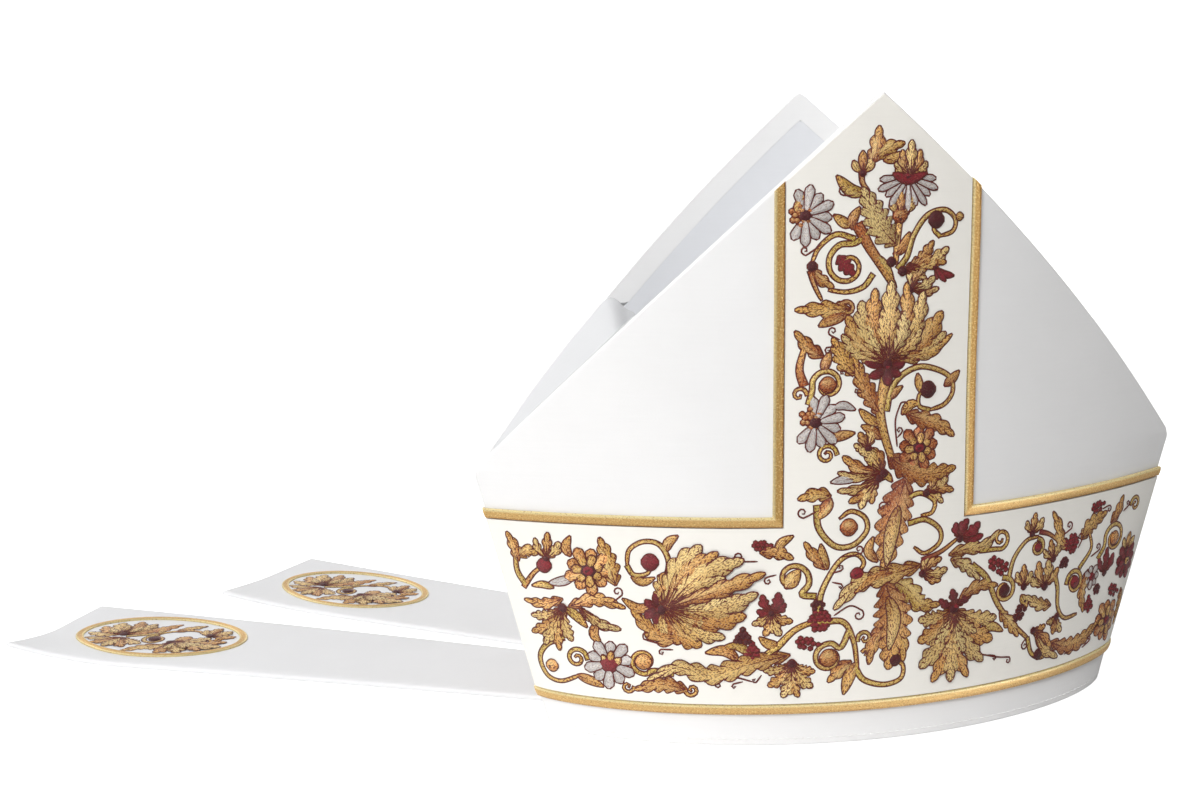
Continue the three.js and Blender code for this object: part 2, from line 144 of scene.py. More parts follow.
@dataclass
class MitreForm:
    """The shape of both panels, and the way from distances along the cloth to places."""

    rim: Section = Section(0.0, 271.2, 102.4, 0.72, 1.97)
    corner: Section = Section(120.3, 335.0, 101.8, 1.06, 1.92)
    apex_z: float = 281.3
    apex_depth: float = 110.2
    lean: float = 6.4
    flattening: float = 0.19
    edge_bulge: float = 5.9
    seam_gap: float = 0.3
    levels: Array = field(init=False)
    x_table: Array = field(init=False)
    cloth_table: Array = field(init=False)

    def __post_init__(self) -> None:
        """Measures the cloth along many level sections."""
        low = np.linspace(0, self.corner.z, 61)
        high = np.linspace(self.corner.z, self.apex_z, 163)[1:]
        self.levels = np.concatenate([low, high])
        rows, widths = [], []
        for z in self.levels:
            x = self.half_width(z) * np.sin(np.linspace(0, math.pi / 2, 121))
            y = self.face_depth(x, np.full_like(x, z))
            u = np.concatenate([[0], np.cumsum(np.hypot(np.diff(x), np.diff(y)))])
            rows.append(np.interp(np.linspace(0, u[-1], CLOTH_STEPS + 1), u, x))
            widths.append(u[-1])
        self.x_table = np.array(rows)
        self.cloth_table = np.array(widths)

    def low_part(self, z: Array) -> Array:
        """Part of the way from the rim to the side corners."""
        return np.clip(z / self.corner.z, 0, 1)

    def horn_part(self, z: Array) -> Array:
        """Part of the way from the side corners to the apex."""
        return np.clip((z - self.corner.z) / (self.apex_z - self.corner.z), 0, 1)

    def half_width(self, z: Array) -> Array:
        """Half the panel's width in x, to the seam or to the horn's free edge.

        Args:
            z: Height.

        Returns:
            The half width.
        """
        t = self.horn_part(z)
        low = mix(self.rim.width, self.corner.width, self.low_part(z)) / 2
        high = self.corner.width / 2 * (1 - t) + self.edge_bulge * 4 * t * (1 - t)
        return np.where(t > 0, high, low)

    def mid_y(self, z: Array) -> Array:
        """The plane midway between the panels, which leans back above the corners."""
        return self.lean * self.horn_part(z)

    def face_depth(self, x: Array, z: Array) -> Array:
        """Distance of a panel's face from the middle plane.

        Args:
            x: Distance from the middle.
            z: Height.

        Returns:
            The distance.
        """
        low, t = self.low_part(z), self.horn_part(z)
        width = mix(self.rim.width, self.corner.width, low)
        power = mix(self.rim.squareness, self.corner.squareness, low)
        fullness = mix(self.rim.fullness, self.corner.fullness, low)
        depth = mix(self.rim.depth, self.corner.depth, low)
        depth = depth + (self.apex_depth - self.corner.depth) * t
        bowed = (1 - np.clip(np.abs(2 * x / width), 0, 1) ** power) ** fullness
        return depth / 2 * (1 - (1 - bowed) * (1 - self.flattening * t))

    def face_slope(self, x: Array, z: Array) -> Array:
        """Slope of the section, taken just inside the seam where it would be upright.

        Args:
            x: Distance from the middle.
            z: Height.

        Returns:
            The change in depth over a millimetre of x.
        """
        step = 0.4
        half = mix(self.rim.width, self.corner.width, self.low_part(z)) / 2 - 2 * step
        inside = np.clip(x, -half, half)
        rise = self.face_depth(inside + step, z) - self.face_depth(inside - step, z)
        return rise / (2 * step)

    def half_cloth(self, z: Array) -> Array:
        """Half the cloth's width at a height, measured along the cloth."""
        return np.interp(z, self.levels, self.cloth_table)

    def edge_lean(self, z: Array) -> Array:
        """How much half the cloth's width changes over a millimetre of height."""
        return self.half_cloth(z + 0.5) - self.half_cloth(z - 0.5)

    def inside_edge(self, z: Array, border: float) -> Array:
        """Half the cloth's width left inside a border along the free edge."""
        return self.half_cloth(z) - border * np.hypot(1, self.edge_lean(z))

    def x_along(self, u: Array, z: Array) -> Array:
        """The x of a point that lies u along the cloth from the panel's middle.

        Args:
            u: Distance across the cloth.
            z: Height.

        Returns:
            The x, with the sign of u.
        """
        row = np.interp(z, self.levels, np.arange(len(self.levels)))
        column = np.clip(np.abs(u) / np.maximum(self.half_cloth(z), TINY), 0, 1) * CLOTH_STEPS
        i = np.minimum(row.astype(int), len(self.levels) - 2)
        j = np.minimum(column.astype(int), CLOTH_STEPS - 1)
        a, b = row - i, column - j
        near = mix(self.x_table[i, j], self.x_table[i, j + 1], b)
        far = mix(self.x_table[i + 1, j], self.x_table[i + 1, j + 1], b)
        return np.sign(u) * mix(near, far, a)

    def height_where(self, border: float, width: float) -> float:
        """The height above the corners where the cloth inside a border has a half width."""
        z = np.linspace(self.corner.z, self.apex_z - 0.6, 1600)
        return float(np.interp(-width, -self.inside_edge(z, border), z))


@dataclass
class PanelFace:
    """The outer face of one panel, with the slight unevenness of stiffened cloth."""

    form: MitreForm
    side: int
    swell: float = 0.5

    def unevenness(self, u: Array, z: Array) -> Array:
        """A soft rise and fall that dies out at the panel's edges.

        Args:
            u: Distance across the cloth.
            z: Height.

        Returns:
            How far the cloth stands out.
        """
        edge = np.clip((self.form.half_cloth(z) - np.abs(u)) / 30, 0, 1)
        fade = edge * np.clip(z / 30, 0, 1)
        phase = 0.7 * self.side
        wave = np.sin(u / 31 + z / 47 + phase) + 0.7 * np.sin(z / 23 - u / 61 + 2 * phase)
        return self.swell * fade * (wave + 0.5 * np.sin(u / 17 + z / 19)) / 2

    def place(self, u: Array, v: Array, out: Array) -> Array:
        """Gives points in metres.

        Args:
            u: Distance across the cloth from the panel's middle.
            v: Height above the table.
            out: Distance outward from the panel's face.

        Returns:
            One row of x, y and z for each point.
        """
        form = self.form
        x = form.x_along(u, v)
        slope = form.face_slope(x, v)
        length = np.hypot(slope, 1)
        out = out + self.unevenness(u, v)
        depth = np.maximum(form.face_depth(x, v) + out / length, form.seam_gap / 2)
        x = x - out * slope / length
        y = form.mid_y(v) + self.side * depth
        return np.stack([-self.side * x, y, v + 0 * u], axis=-1) * MM


# ---------------------------------------------------------------- meshes
@dataclass
class Patch:
    """Flat four-sided cells of cloth, given by grids of u and v that may share edges."""

    grids: list[Array]

    def cells(self) -> tuple[Array, Array]:
        """Joins the grids where they meet.

        Returns:
            The flat points, and the cells as four point numbers each.
        """
        points, cells, start = [], [], 0
        for grid in self.grids:
            rows, columns = grid.shape[:2]
            number = start + np.arange(rows * columns).reshape(rows, columns)
            cells.append(quads(number))
            points.append(grid.reshape(-1, 2))
            start += rows * columns
        flat = np.vstack(points)
        _, first, number = np.unique(
            np.round(flat, 3), axis=0, return_index=True, return_inverse=True
        )
        return flat[first], number.reshape(-1)[np.vstack(cells)]


def grid_of(u: Array, v: Array) -> Array:
    """Pairs two arrays of the same shape as one grid of flat points."""
    return np.stack(np.broadcast_arrays(u, v), axis=-1)


def make_object(
    name: str,
    points: Array,
    faces: list,
    flat: Array,
    tones: Array | None = None,
    sharp: float = 50.0,
) -> Piece:
    """Makes a smooth mesh object.

    Args:
        name: The piece's name.
        points: The points in metres.
        faces: The point numbers round each face.
        flat: Each point's place along the cloth in millimetres, for the weave.
        tones: Each point's linear thread colour, if it has one.
        sharp: The angle in degrees from which an edge stays sharp.

    Returns:
        The new object, linked to the scene.
    """
    mesh = bpy.data.meshes.new(name)
    mesh.from_pydata(points.tolist(), [], faces)
    mesh.update()
    corner = np.zeros(len(mesh.loops), np.int32)
    mesh.loops.foreach_get("vertex_index", corner)
    layer = mesh.uv_layers.new(name="cloth")
    layer.data.foreach_set("uv", flat[corner].astype(np.float32).ravel())
    if tones is not None:
        colour = mesh.color_attributes.new("tone", "FLOAT_COLOR", "POINT")
        colour.data.foreach_set("color", tones.astype(np.float32).ravel())
    mesh.shade_smooth()
    mesh.set_sharp_from_angle(angle=math.radians(sharp))
    piece = bpy.data.objects.new(name, mesh)
    bpy.context.scene.collection.objects.link(piece)
    return piece


def closed_skins(
    name: str,
    top: Array,
    bottom: Array,
    flat: Array,
    cells: Array,
    tones: Array | None = None,
) -> Piece:
    """Closes two matching skins along their border.

    Args:
        name: The piece's name.
        top: The outer skin's points in metres.
        bottom: The inner skin's points in metres.
        flat: The flat points that both skins share.
        cells: Four point numbers for each cell, counter-clockwise seen from outside.
        tones: Each flat point's linear colour, if it has one.

    Returns:
        The closed piece.
    """
    count = len(top)
    faces = [list(dict.fromkeys(cell)) for cell in cells.tolist()]
    faces = [face for face in faces if len(face) > 2]
    edges = {}
    for face in faces:
        for here, there in zip(face, face[1:] + face[:1]):
            edges[(here, there)] = True
    walls = [
        [here, count + here, count + there, there]
        for here, there in edges
        if (there, here) not in edges
    ]
    under = [[count + n for n in reversed(face)] for face in faces]
    points = np.vstack([top, bottom])
    both = None if tones is None else np.vstack([tones, tones])
    return make_object(name, points, faces + under + walls, np.vstack([flat, flat]), both)


@dataclass
class ClothCut:
    """A piece of cloth with thickness, laid on a surface at two distances from it."""

    name: str
    surface: Surface
    patch: Patch
    inner: float
    outer: float
    rounding: float = 0.0
    border: Callable[[Array, Array], Array] | None = None

    def build(self) -> Piece:
        """Lays both skins, rounded over along the border, and closes them.

        Returns:
            The closed piece.
        """
        flat, cells = self.patch.cells()
        drop = np.zeros(len(flat))
        if self.border is not None:
            near = np.clip(self.rounding - self.border(flat[:, 0], flat[:, 1]), 0, self.rounding)
            drop = self.rounding - np.sqrt(np.maximum(self.rounding**2 - near**2, 0))
        drop = np.minimum(drop, (self.outer - self.inner) * 0.46)
        top = self.surface.place(flat[:, 0], flat[:, 1], self.outer - drop)
        bottom = self.surface.place(flat[:, 0], flat[:, 1], self.inner + drop)
        return closed_skins(self.name, top, bottom, flat, cells)


# ---------------------------------------------------------------- finishes
class Graph:
    """A material's node graph, with short calls for the nodes that the finishes share."""

    def __init__(self, name: str) -> None:
        """Starts a material with a plain shader.

        Args:
            name: The material's name.
        """
        self.material = bpy.data.materials.new(name)
        self.material.use_nodes = True
        self.nodes = self.material.node_tree.nodes
        self.links = self.material.node_tree.links
        self.shader = self.nodes["Principled BSDF"]

    def add(self, kind: str, sockets: dict | None = None, **settings: object) -> bpy.types.Node:
        """Adds a node.

        Args:
            kind: The node's type, without its prefix.
            sockets: What goes into its sockets, by name or number.
            **settings: Its properties by name.

        Returns:
            The node.
        """
        node = self.nodes.new("ShaderNode" + kind)
        for key, value in settings.items():
            setattr(node, key, value)
        for key, value in (sockets or {}).items():
            self.feed(node.inputs[key], value)
        return node

    def feed(self, socket: Socket, value: object) -> None:
        """Links a socket, or sets it if the value is a constant."""
        if isinstance(value, Socket):
            self.links.new(value, socket)
        else:
            socket.default_value = value

    def along_cloth(self, scale: Pair, turn: float = 0.0) -> Socket:
        """The place along the cloth in millimetres, scaled and turned by degrees."""
        where, turned = self.add("UVMap", uv_map="cloth").outputs["UV"], (0, 0, math.radians(turn))
        return self.add("Mapping", {"Vector": where, "Rotation": turned, "Scale": (*scale, 1)}).outputs[0]

    def noise(self, where: object, scale: float, detail: float = 2.0) -> Socket:
        """Cloudy noise between 0 and 1."""
        return self.add("TexNoise", {"Vector": where, "Scale": scale, "Detail": detail}).outputs["Fac"]

    def wave(self, where: object, scale: float, bent: float = 0.0) -> Socket:
        """Even ribs along the first axis, bent by noise."""
        sockets = {"Vector": where, "Scale": scale, "Distortion": bent, "Detail Scale": 2.0}
        return self.add("TexWave", sockets, wave_type="BANDS", bands_direction="X").outputs["Fac"]

    def reckon(self, sum_kind: str, a: object, b: object = 0.0) -> Socket:
        """A sum of two values."""
        return self.add("Math", {0: a, 1: b}, operation=sum_kind).outputs[0]

    def spread(self, value: object, low: float, high: float) -> Socket:
        """Turns 0 to 1 into low to high."""
        return self.add("MapRange", {"Value": value, "To Min": low, "To Max": high}).outputs["Result"]

    def step(self, value: object, low: float, high: float) -> Socket:
        """Turns low to high into 0 to 1, held outside."""
        sockets = {"Value": value, "From Min": low, "From Max": high}
        return self.add("MapRange", sockets, interpolation_type="SMOOTHSTEP").outputs["Result"]

    def blend(self, part: object, a: object, b: object) -> Socket:
        """Mixes two colours."""
        return self.add("Mix", {0: part, 6: a, 7: b}, data_type="RGBA").outputs[2]

    def relief(self, height: object, depth: float, strength: float = 1.0) -> None:
        """Feeds the shader a bumped normal, with the depth in metres."""
        bump = self.add("Bump", {"Strength": strength, "Distance": depth, "Height": height})
        self.links.new(bump.outputs["Normal"], self.shader.inputs["Normal"])

    def surface(self, **values: object) -> bpy.types.Material:
        """Sets or links the shader's own sockets, and gives the finished material."""
        for key, value in values.items():
            self.feed(self.shader.inputs[key.replace("_", " ").title()], value)
        return self.material


class Weave(Enum):
    """How a cloth's threads cross."""

    PLAIN = "plain"
    TWILL = "twill"
    SATIN = "satin"


@dataclass(frozen=True)
class ClothFinish:
    """A woven cloth with faint slubs and soft fibres, which may be given a painted glow of its own."""

    name: str
    colour: Triple
    weave: Weave
    pitch: float
    roughness: float
    sheen: float
    glow: float = 0.0
    worn: float = 0.965
    dark: float = 0.9

    def material(self) -> bpy.types.Material:
        """Builds the weave, its painted shade between threads, its relief and its painted glow.

        Returns:
            The finished material.
        """
        graph = Graph(self.name)
        rate = WAVE_RATE / self.pitch
        turn = {Weave.PLAIN: 0.0, Weave.TWILL: 38.0, Weave.SATIN: 74.0}[self.weave]
        warp = graph.wave(graph.along_cloth((1, 1), turn), rate, 0.5)
        weft = graph.wave(graph.along_cloth((1, 1), turn + 90), rate, 0.5)
        threads = graph.reckon("MULTIPLY", warp, weft)
        if self.weave is Weave.TWILL:
            threads = graph.reckon("MAXIMUM", warp, graph.reckon("MULTIPLY", weft, 0.5))
        slubs = graph.noise(graph.along_cloth((0.04, 0.9)), 1.0, 3.0)
        clouds = graph.noise(graph.along_cloth((0.02, 0.02)), 1.0, 3.0)
        pale = linear(self.colour)
        worn = linear(tuple(c * self.worn for c in self.colour))
        dark = linear(tuple(c * self.dark for c in self.colour))
        ground = graph.blend(clouds, pale, worn)
        # Painted shade: the gaps between threads go darker.
        shaded = graph.blend(graph.spread(threads, 0.22, 0.0), ground, dark)
        colour = graph.blend(graph.spread(slubs, 0.0, 0.16), shaded, dark)
        fibres = graph.noise(graph.along_cloth((3, 3)), 1.0, 4.0)
        height = graph.reckon("ADD", threads, graph.reckon("MULTIPLY", fibres, 0.6))
        height = graph.reckon("ADD", height, graph.reckon("MULTIPLY", slubs, 0.8))
        graph.relief(height, 0.00009, 0.7)
        rough = graph.spread(fibres, self.roughness - 0.06, self.roughness + 0.06)
        graph.shader.inputs["Sheen Weight"].default_value = self.sheen
        graph.shader.inputs["Sheen Roughness"].default_value = 0.5
        graph.shader.inputs["Specular IOR Level"].default_value = 0.3
        # Painted glow: the cloth gives out light in its own colour, though it is no lamp.
        graph.shader.inputs["Emission Strength"].default_value = self.glow
        return graph.surface(base_color=colour, roughness=rough, emission_color=colour)


@dataclass(frozen=True)
class BraidFinish:
    """Gold satin braid: slanted metal threads with painted sparkle, painted shade between threads and dark
    specks.
    """

    name: str
    bright: Triple
    dark: Triple
    slant: float = 32.0

    def material(self) -> bpy.types.Material:
        """Builds the slanted threads, their painted sparkle, their painted shade and their dark specks.

        Returns:
            The finished material.
        """
        graph = Graph(self.name)
        dark = linear(self.dark)
        tone = graph.add("Attribute", attribute_name="tone").outputs["Color"]
        threads = graph.wave(graph.along_cloth((1, 1), self.slant), 0.62, 1.2)
        grain = graph.noise(graph.along_cloth((1.1, 1.9), self.slant), 1.0, 3.0)
        painted_sparkle = graph.step(graph.noise(graph.along_cloth((1.4, 1.4)), 1.0, 2.0), 0.55, 0.62)
        dark_specks = graph.step(grain, 0.55, 0.68)
        # Painted shade: the gaps between threads go darker.
        shaded = graph.blend(graph.spread(threads, 0.4, 0.0), tone, dark)
        colour = graph.blend(graph.reckon("MULTIPLY", dark_specks, 0.5), shaded, dark)
        # Painted sparkle: bright flecks of painted highlight.
        colour = graph.blend(graph.reckon("MULTIPLY", painted_sparkle, 0.55), colour, linear(self.bright))
        height = graph.reckon("ADD", threads, graph.reckon("MULTIPLY", grain, 1.2))
        graph.relief(height, 0.00025, 0.9)
        rough = graph.spread(grain, 0.26, 0.46)
        return graph.surface(base_color=colour, roughness=rough, metallic=0.5)


@dataclass(frozen=True)
class ThreadFinish:
    """Embroidery thread that takes its colour from each stitch."""

    name: str
    metallic: float
    roughness: float
    speckle_and_gap_shade: Triple
    speckled: float
    glint: float
    pitch: float = 0.62
    slant: float = 58.0
    bright: Triple = (1.0, 0.93, 0.74)

    def material(self) -> bpy.types.Material:
        """Builds the laid threads with painted shade between them, the dashes of darker thread, the painted
        glints and the satin relief.

        Returns:
            The finished material.
        """
        graph = Graph(self.name)
        source = graph.add("Attribute", attribute_name="tone")
        tone = source.outputs["Color"]
        dark = linear(self.speckle_and_gap_shade)
        threads = graph.wave(graph.along_cloth((1, 1), self.slant), WAVE_RATE / self.pitch, 0.8)
        dashes = graph.noise(graph.along_cloth((0.9, 1.8), self.slant), 1.0, 2.0)
        spots = graph.step(dashes, 0.51, 0.58)
        # Painted shade: the gaps between threads go towards the dark thread's colour, which the dashes also
        # use.
        shaded = graph.blend(graph.spread(threads, 0.4, 0.0), tone, dark)
        # Painted glints: flecks of painted highlight.
        glint = graph.step(graph.noise(graph.along_cloth((1.3, 1.3), 20.0), 1.0, 2.0), 0.56, 0.7)
        dotted = graph.reckon("MULTIPLY", spots, source.outputs["Alpha"])
        colour = graph.blend(graph.reckon("MULTIPLY", dotted, self.speckled), shaded, dark)
        colour = graph.blend(graph.reckon("MULTIPLY", glint, self.glint), colour, linear(self.bright))
        graph.relief(graph.reckon("ADD", threads, dashes), 0.00022, 0.8)
        rough = graph.spread(dashes, self.roughness - 0.08, self.roughness + 0.12)
        graph.shader.inputs["Sheen Weight"].default_value = 0.04
        return graph.surface(base_color=colour, roughness=rough, metallic=self.metallic)


@dataclass(frozen=True)
class FloorFinish:
    """A plain pale floor that glows a little, as one lit from below does, and more where it is seen."""

    name: str
    colour: Triple = (0.76, 0.76, 0.76)
    glow: float = 0.56
    least: float = 0.56
    fade: Pair = (-0.1, 0.2)
    turn: float = 32.0
    seen_more: float = 0.3

    def material(self) -> bpy.types.Material:
        """Builds a matt floor whose glow dies away towards the mitre's dim side.

        Returns:
            The finished material.
        """
        graph = Graph(self.name)
        graph.shader.inputs["Emission Color"].default_value = (1.0, 1.0, 1.0, 1.0)
        where, turned = graph.add("TexCoord").outputs["Object"], (0, 0, math.radians(self.turn))
        placed = graph.add("Mapping", {"Vector": where, "Rotation": turned}).outputs["Vector"]
        parts = graph.add("SeparateXYZ", {"Vector": placed})
        away = graph.step(parts.outputs["X"], *self.fade)
        given = graph.spread(away, self.glow, self.least)
        seen = graph.add("LightPath").outputs["Is Camera Ray"]
        shown = graph.reckon("MULTIPLY", seen, self.glow + self.seen_more)
        glow = graph.reckon("MAXIMUM", given, shown)
        return graph.surface(base_color=linear(self.colour), roughness=0.9, emission_strength=glow)


WHITE_CLOTH = ClothFinish("white_cloth", (0.955, 0.952, 0.95), Weave.PLAIN, 0.42, 0.84, 0.25)
ORPHREY_CLOTH = ClothFinish("orphrey_cloth", (0.968, 0.955, 0.925), Weave.TWILL, 0.5, 0.74, 0.2)
# The web is the lining satin painted a touch greyer, as painted shade for the crown's hollow.
SHADED_WEB_CLOTH = ClothFinish("shaded_web_cloth", (0.868, 0.87, 0.875), Weave.SATIN, 0.3, 0.6, 0.2)
# The last number of the lining and the turned edge is a painted glow that brightens the inside of the horns;
# the turned edge is also the white cloth painted a touch paler.
GLOWING_LINING_CLOTH = ClothFinish("lining_cloth", (0.93, 0.935, 0.948), Weave.SATIN, 0.3, 0.55, 0.3, 0.06)
GLOWING_FACING_CLOTH = ClothFinish("glowing_facing_cloth", (0.962, 0.96, 0.958), Weave.PLAIN, 0.42, 0.84, 0.25, 0.1)
# The lappets' cloth is the white cloth painted a touch greyer, as painted shade.
SHADED_LAPPET_CLOTH = ClothFinish("lappet_cloth", (0.93, 0.93, 0.935), Weave.PLAIN, 0.42, 0.84, 0.25)
GOLD_BRAID = BraidFinish("gold_braid", (1.0, 0.9, 0.62), (0.6, 0.39, 0.15))
GOLD_THREAD = ThreadFinish("gold_embroidery", 0.25, 0.36, (0.4, 0.13, 0.06), 1.0, 0.34)
CRIMSON_THREAD = ThreadFinish("crimson_embroidery", 0.0, 0.5, (0.22, 0.03, 0.04), 0.5, 0.06)
SILVER_THREAD = ThreadFinish("silver_embroidery", 0.2, 0.4, (0.6, 0.5, 0.47), 0.6, 0.3)


class Wardrobe:
    """Makes each finish once and gives it to pieces."""

    def __init__(self) -> None:
        """Starts with no materials made."""
        self.made: dict[str, bpy.types.Material] = {}

    def dress(self, piece: Piece, finish: object, slot: str = "") -> Piece:
        """Gives a piece a finish.

        Args:
            piece: The piece.
            finish: The finish.
            slot: Not used.

        Returns:
            The same piece.
        """
        if finish.name not in self.made:
            self.made[finish.name] = finish.material()
        piece.data.materials.append(self.made[finish.name])
        slot or finish.name
        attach(piece, "root")
        LOG.info("%s: %d faces", piece.name, len(piece.data.polygons))
        return piece


# ---------------------------------------------------------------- needlework
class Tone(Enum):
    """Thread colours: the family that is sewn as one piece, and the thread's colour."""

    PALE = ("gold", (1.0, 0.89, 0.6))
    GOLD = ("gold", (0.96, 0.74, 0.38))
    AMBER = ("gold", (0.99, 0.7, 0.4))
    BRONZE = ("gold", (0.89, 0.57, 0.3))
    COPPER = ("gold", (0.79, 0.4, 0.19))
    OLIVE = ("gold", (0.88, 0.76, 0.34))
    CRIMSON = ("crimson", (0.58, 0.13, 0.17))
    WINE = ("crimson", (0.33, 0.07, 0.1))
    OUTLINE = ("crimson", (0.46, 0.13, 0.07))
    SILVER = ("silver", (0.87, 0.86, 0.85))

    @property
    def family(self) -> str:
        """The family's name."""
        return self.value[0]

    @property
    def linear(self) -> Array:
        """The thread's linear colour."""
        return np.array(linear(self.value[1]))


class Outline(Enum):
    """How a stroke of stitches narrows along its length."""

    STEM = "stem"
    LEAF = "leaf"
    LOBE = "lobe"
    FROND = "frond"
    PETAL = "petal"
    EVEN = "even"

    def half(self, t: Array) -> Array:
        """Half the stroke's width, as a part of the widest, at each part t of its length.

        Args:
            t: Part of the length.

        Returns:
            Part of the greatest half width.
        """
        if self is Outline.LEAF:
            return np.sin(math.pi * t**0.85) ** 0.62 * (1 - 0.1 * t) + 0.03
        if self is Outline.FROND:
            return np.sin(math.pi * t**1.35) ** 0.6 * 0.97 + 0.03
        if self is Outline.LOBE:
            rise = np.clip(t / 0.5, 0, 1) ** 0.6
            return rise * np.sqrt(np.clip(1 - np.clip((t - 0.66) / 0.34, 0, 1) ** 2, 0.01, 1))
        if self is Outline.PETAL:
            rise = 0.35 + 0.65 * t**0.8
            return rise * np.sqrt(np.clip(1 - np.clip((t - 0.7) / 0.3, 0, 1) ** 2, 0.02, 1))
        if self is Outline.STEM:
            return (1 - 0.45 * t) * np.clip((1.03 - t) / 0.08, 0.2, 1)
        return np.clip(np.minimum(t + 0.02, 1.02 - t) / 0.04, 0.3, 1)


@dataclass(frozen=True)
class Stroke:
    """One run of satin stitches along a line."""

    line: Array
    half: Array
    tone: Tone
    tip: Tone
    level: float = 0.0
    crown: float = 0.4
    outlined: bool = True
    shade: bool = False


def crown_of(width: float) -> float:
    """How high a run of stitches is domed, from its width."""
    return min(0.36, 0.12 + 0.05 * width)


def stroke(
    points: list[Pair],
    width: float,
    tone: Tone,
    shape: Outline = Outline.STEM,
    tip: Tone | None = None,
    level: float = 0.0,
    outlined: bool = True,
) -> Stroke:
    """Draws one run of stitches through a few points, as wide as asked.

    Args:
        points: The places that the run passes.
        width: Its greatest width.
        tone: The thread at its start.
        shape: How it narrows.
        tip: The thread at its end, if another.
        level: How far it lies above the ground.
        outlined: Whether dark thread shows round it.

    Returns:
        The run of stitches.
    """
    count = int(np.clip(line_length(points) / 1.1, 7, 60))
    line = smooth_line(points, count)
    half = width / 2 * shape.half(np.linspace(0, 1, count))
    return Stroke(line, half, tone, tip or tone, level, crown_of(width), outlined)


class Motif(Protocol):
    """A figure of the needlework that can be turned into strokes."""

    def strokes(self) -> list[Stroke]:
        """Gives the figure's runs of stitches, lowest first."""


@dataclass(frozen=True)
class Stem:
    """A stem or horn, which may end in a berry."""

    points: list[Pair]
    width: float = 1.9
    tone: Tone = Tone.OLIVE
    berry: float = 0.0
    berry_tone: Tone = Tone.CRIMSON

    def strokes(self) -> list[Stroke]:
        """A tapering stem, and the berry at its tip.

        Returns:
            The strokes, lowest first.
        """
        made = [stroke(self.points, self.width, self.tone, tip=Tone.GOLD)]
        if self.berry:
            made += Berry(self.points[-1], self.berry, self.berry_tone).strokes()
        return made


@dataclass(frozen=True)
class Berry:
    """A round knot of thread."""

    centre: Pair
    radius: float
    tone: Tone = Tone.CRIMSON
    level: float = 0.2

    def strokes(self) -> list[Stroke]:
        """A domed disc with a darker heart.

        Returns:
            The strokes, lowest first.
        """
        (u, z), r = self.centre, self.radius
        t = np.linspace(-1, 1, 9)
        line = np.stack([u + r * t, z + 0 * t], axis=-1)
        half = r * np.sqrt(np.maximum(1 - t**2, 0.02))
        made = [Stroke(line, half, self.tone, self.tone, self.level, min(0.8, 0.3 + 0.15 * r))]
        if r > 2:
            seed = stroke([(u - r * 0.45, z - 0.3), (u + r * 0.4, z + 0.4)], r * 0.55, Tone.WINE)
            made.append(Stroke(seed.line, seed.half, Tone.WINE, Tone.WINE, self.level + 0.55, 0.2, False))
        return made


@dataclass(frozen=True)
class Leaf:
    """A leaf along a line, with scalloped edges and dark notches if it has lobes."""

    points: list[Pair]
    width: float
    tone: Tone = Tone.BRONZE
    lobes: int = 0
    level: float = 0.0
    tip: Tone = Tone.GOLD
    shape: Outline = Outline.LEAF

    def strokes(self) -> list[Stroke]:
        """The scalloped body, the stitches in from each notch, and the vein.

        Returns:
            The strokes, lowest first.
        """
        per_lobe = 7
        count = max(self.lobes * per_lobe + 5, int(np.clip(line_length(self.points) / 1.1, 8, 40)))
        line = smooth_line(self.points, count)
        ahead = headings(line)
        aside = np.stack([-ahead[:, 1], ahead[:, 0]], axis=-1)
        t = np.linspace(0, 1, count)
        half = self.width / 2 * self.shape.half(t)
        crown = crown_of(self.width)
        spacing = self.lobes + 0.6
        if self.lobes:
            half = half * (0.62 + 0.45 * np.sin(math.pi * (t * spacing % 1.0) ** 1.5) ** 0.7)
        shade = self.tone.family == "gold"
        made = [Stroke(line, half, self.tone, self.tip, self.level, crown, True, shade)]
        up = self.level + crown * 0.72
        for k in range(1, self.lobes + 1):
            i = min(int(round(k / spacing * (count - 1))), count - 2)
            back = max(int(i - count / (self.lobes + 1) * 0.8), 0)
            for hand in (-1, 1):
                notch = line[i] + aside[i] * hand * half[i] * 1.25
                root = line[back] + aside[back] * hand * half[back] * 0.12
                middle = (notch + root) / 2 + ahead[i] * self.width * 0.03
                spine = smooth_line([tuple(notch), tuple(middle), tuple(root)], 6)
                thin = np.linspace(0.36, 0.16, 6)
                made.append(Stroke(spine, thin, Tone.OUTLINE, Tone.OUTLINE, up - 0.06, 0.12, False))
        if self.width > 3.5:
            vein = line[1 : int(count * 0.82)]
            thin = np.linspace(0.32, 0.16, len(vein))
            made.append(Stroke(vein, thin, Tone.OUTLINE, Tone.OUTLINE, up, 0.12, False))
        return made


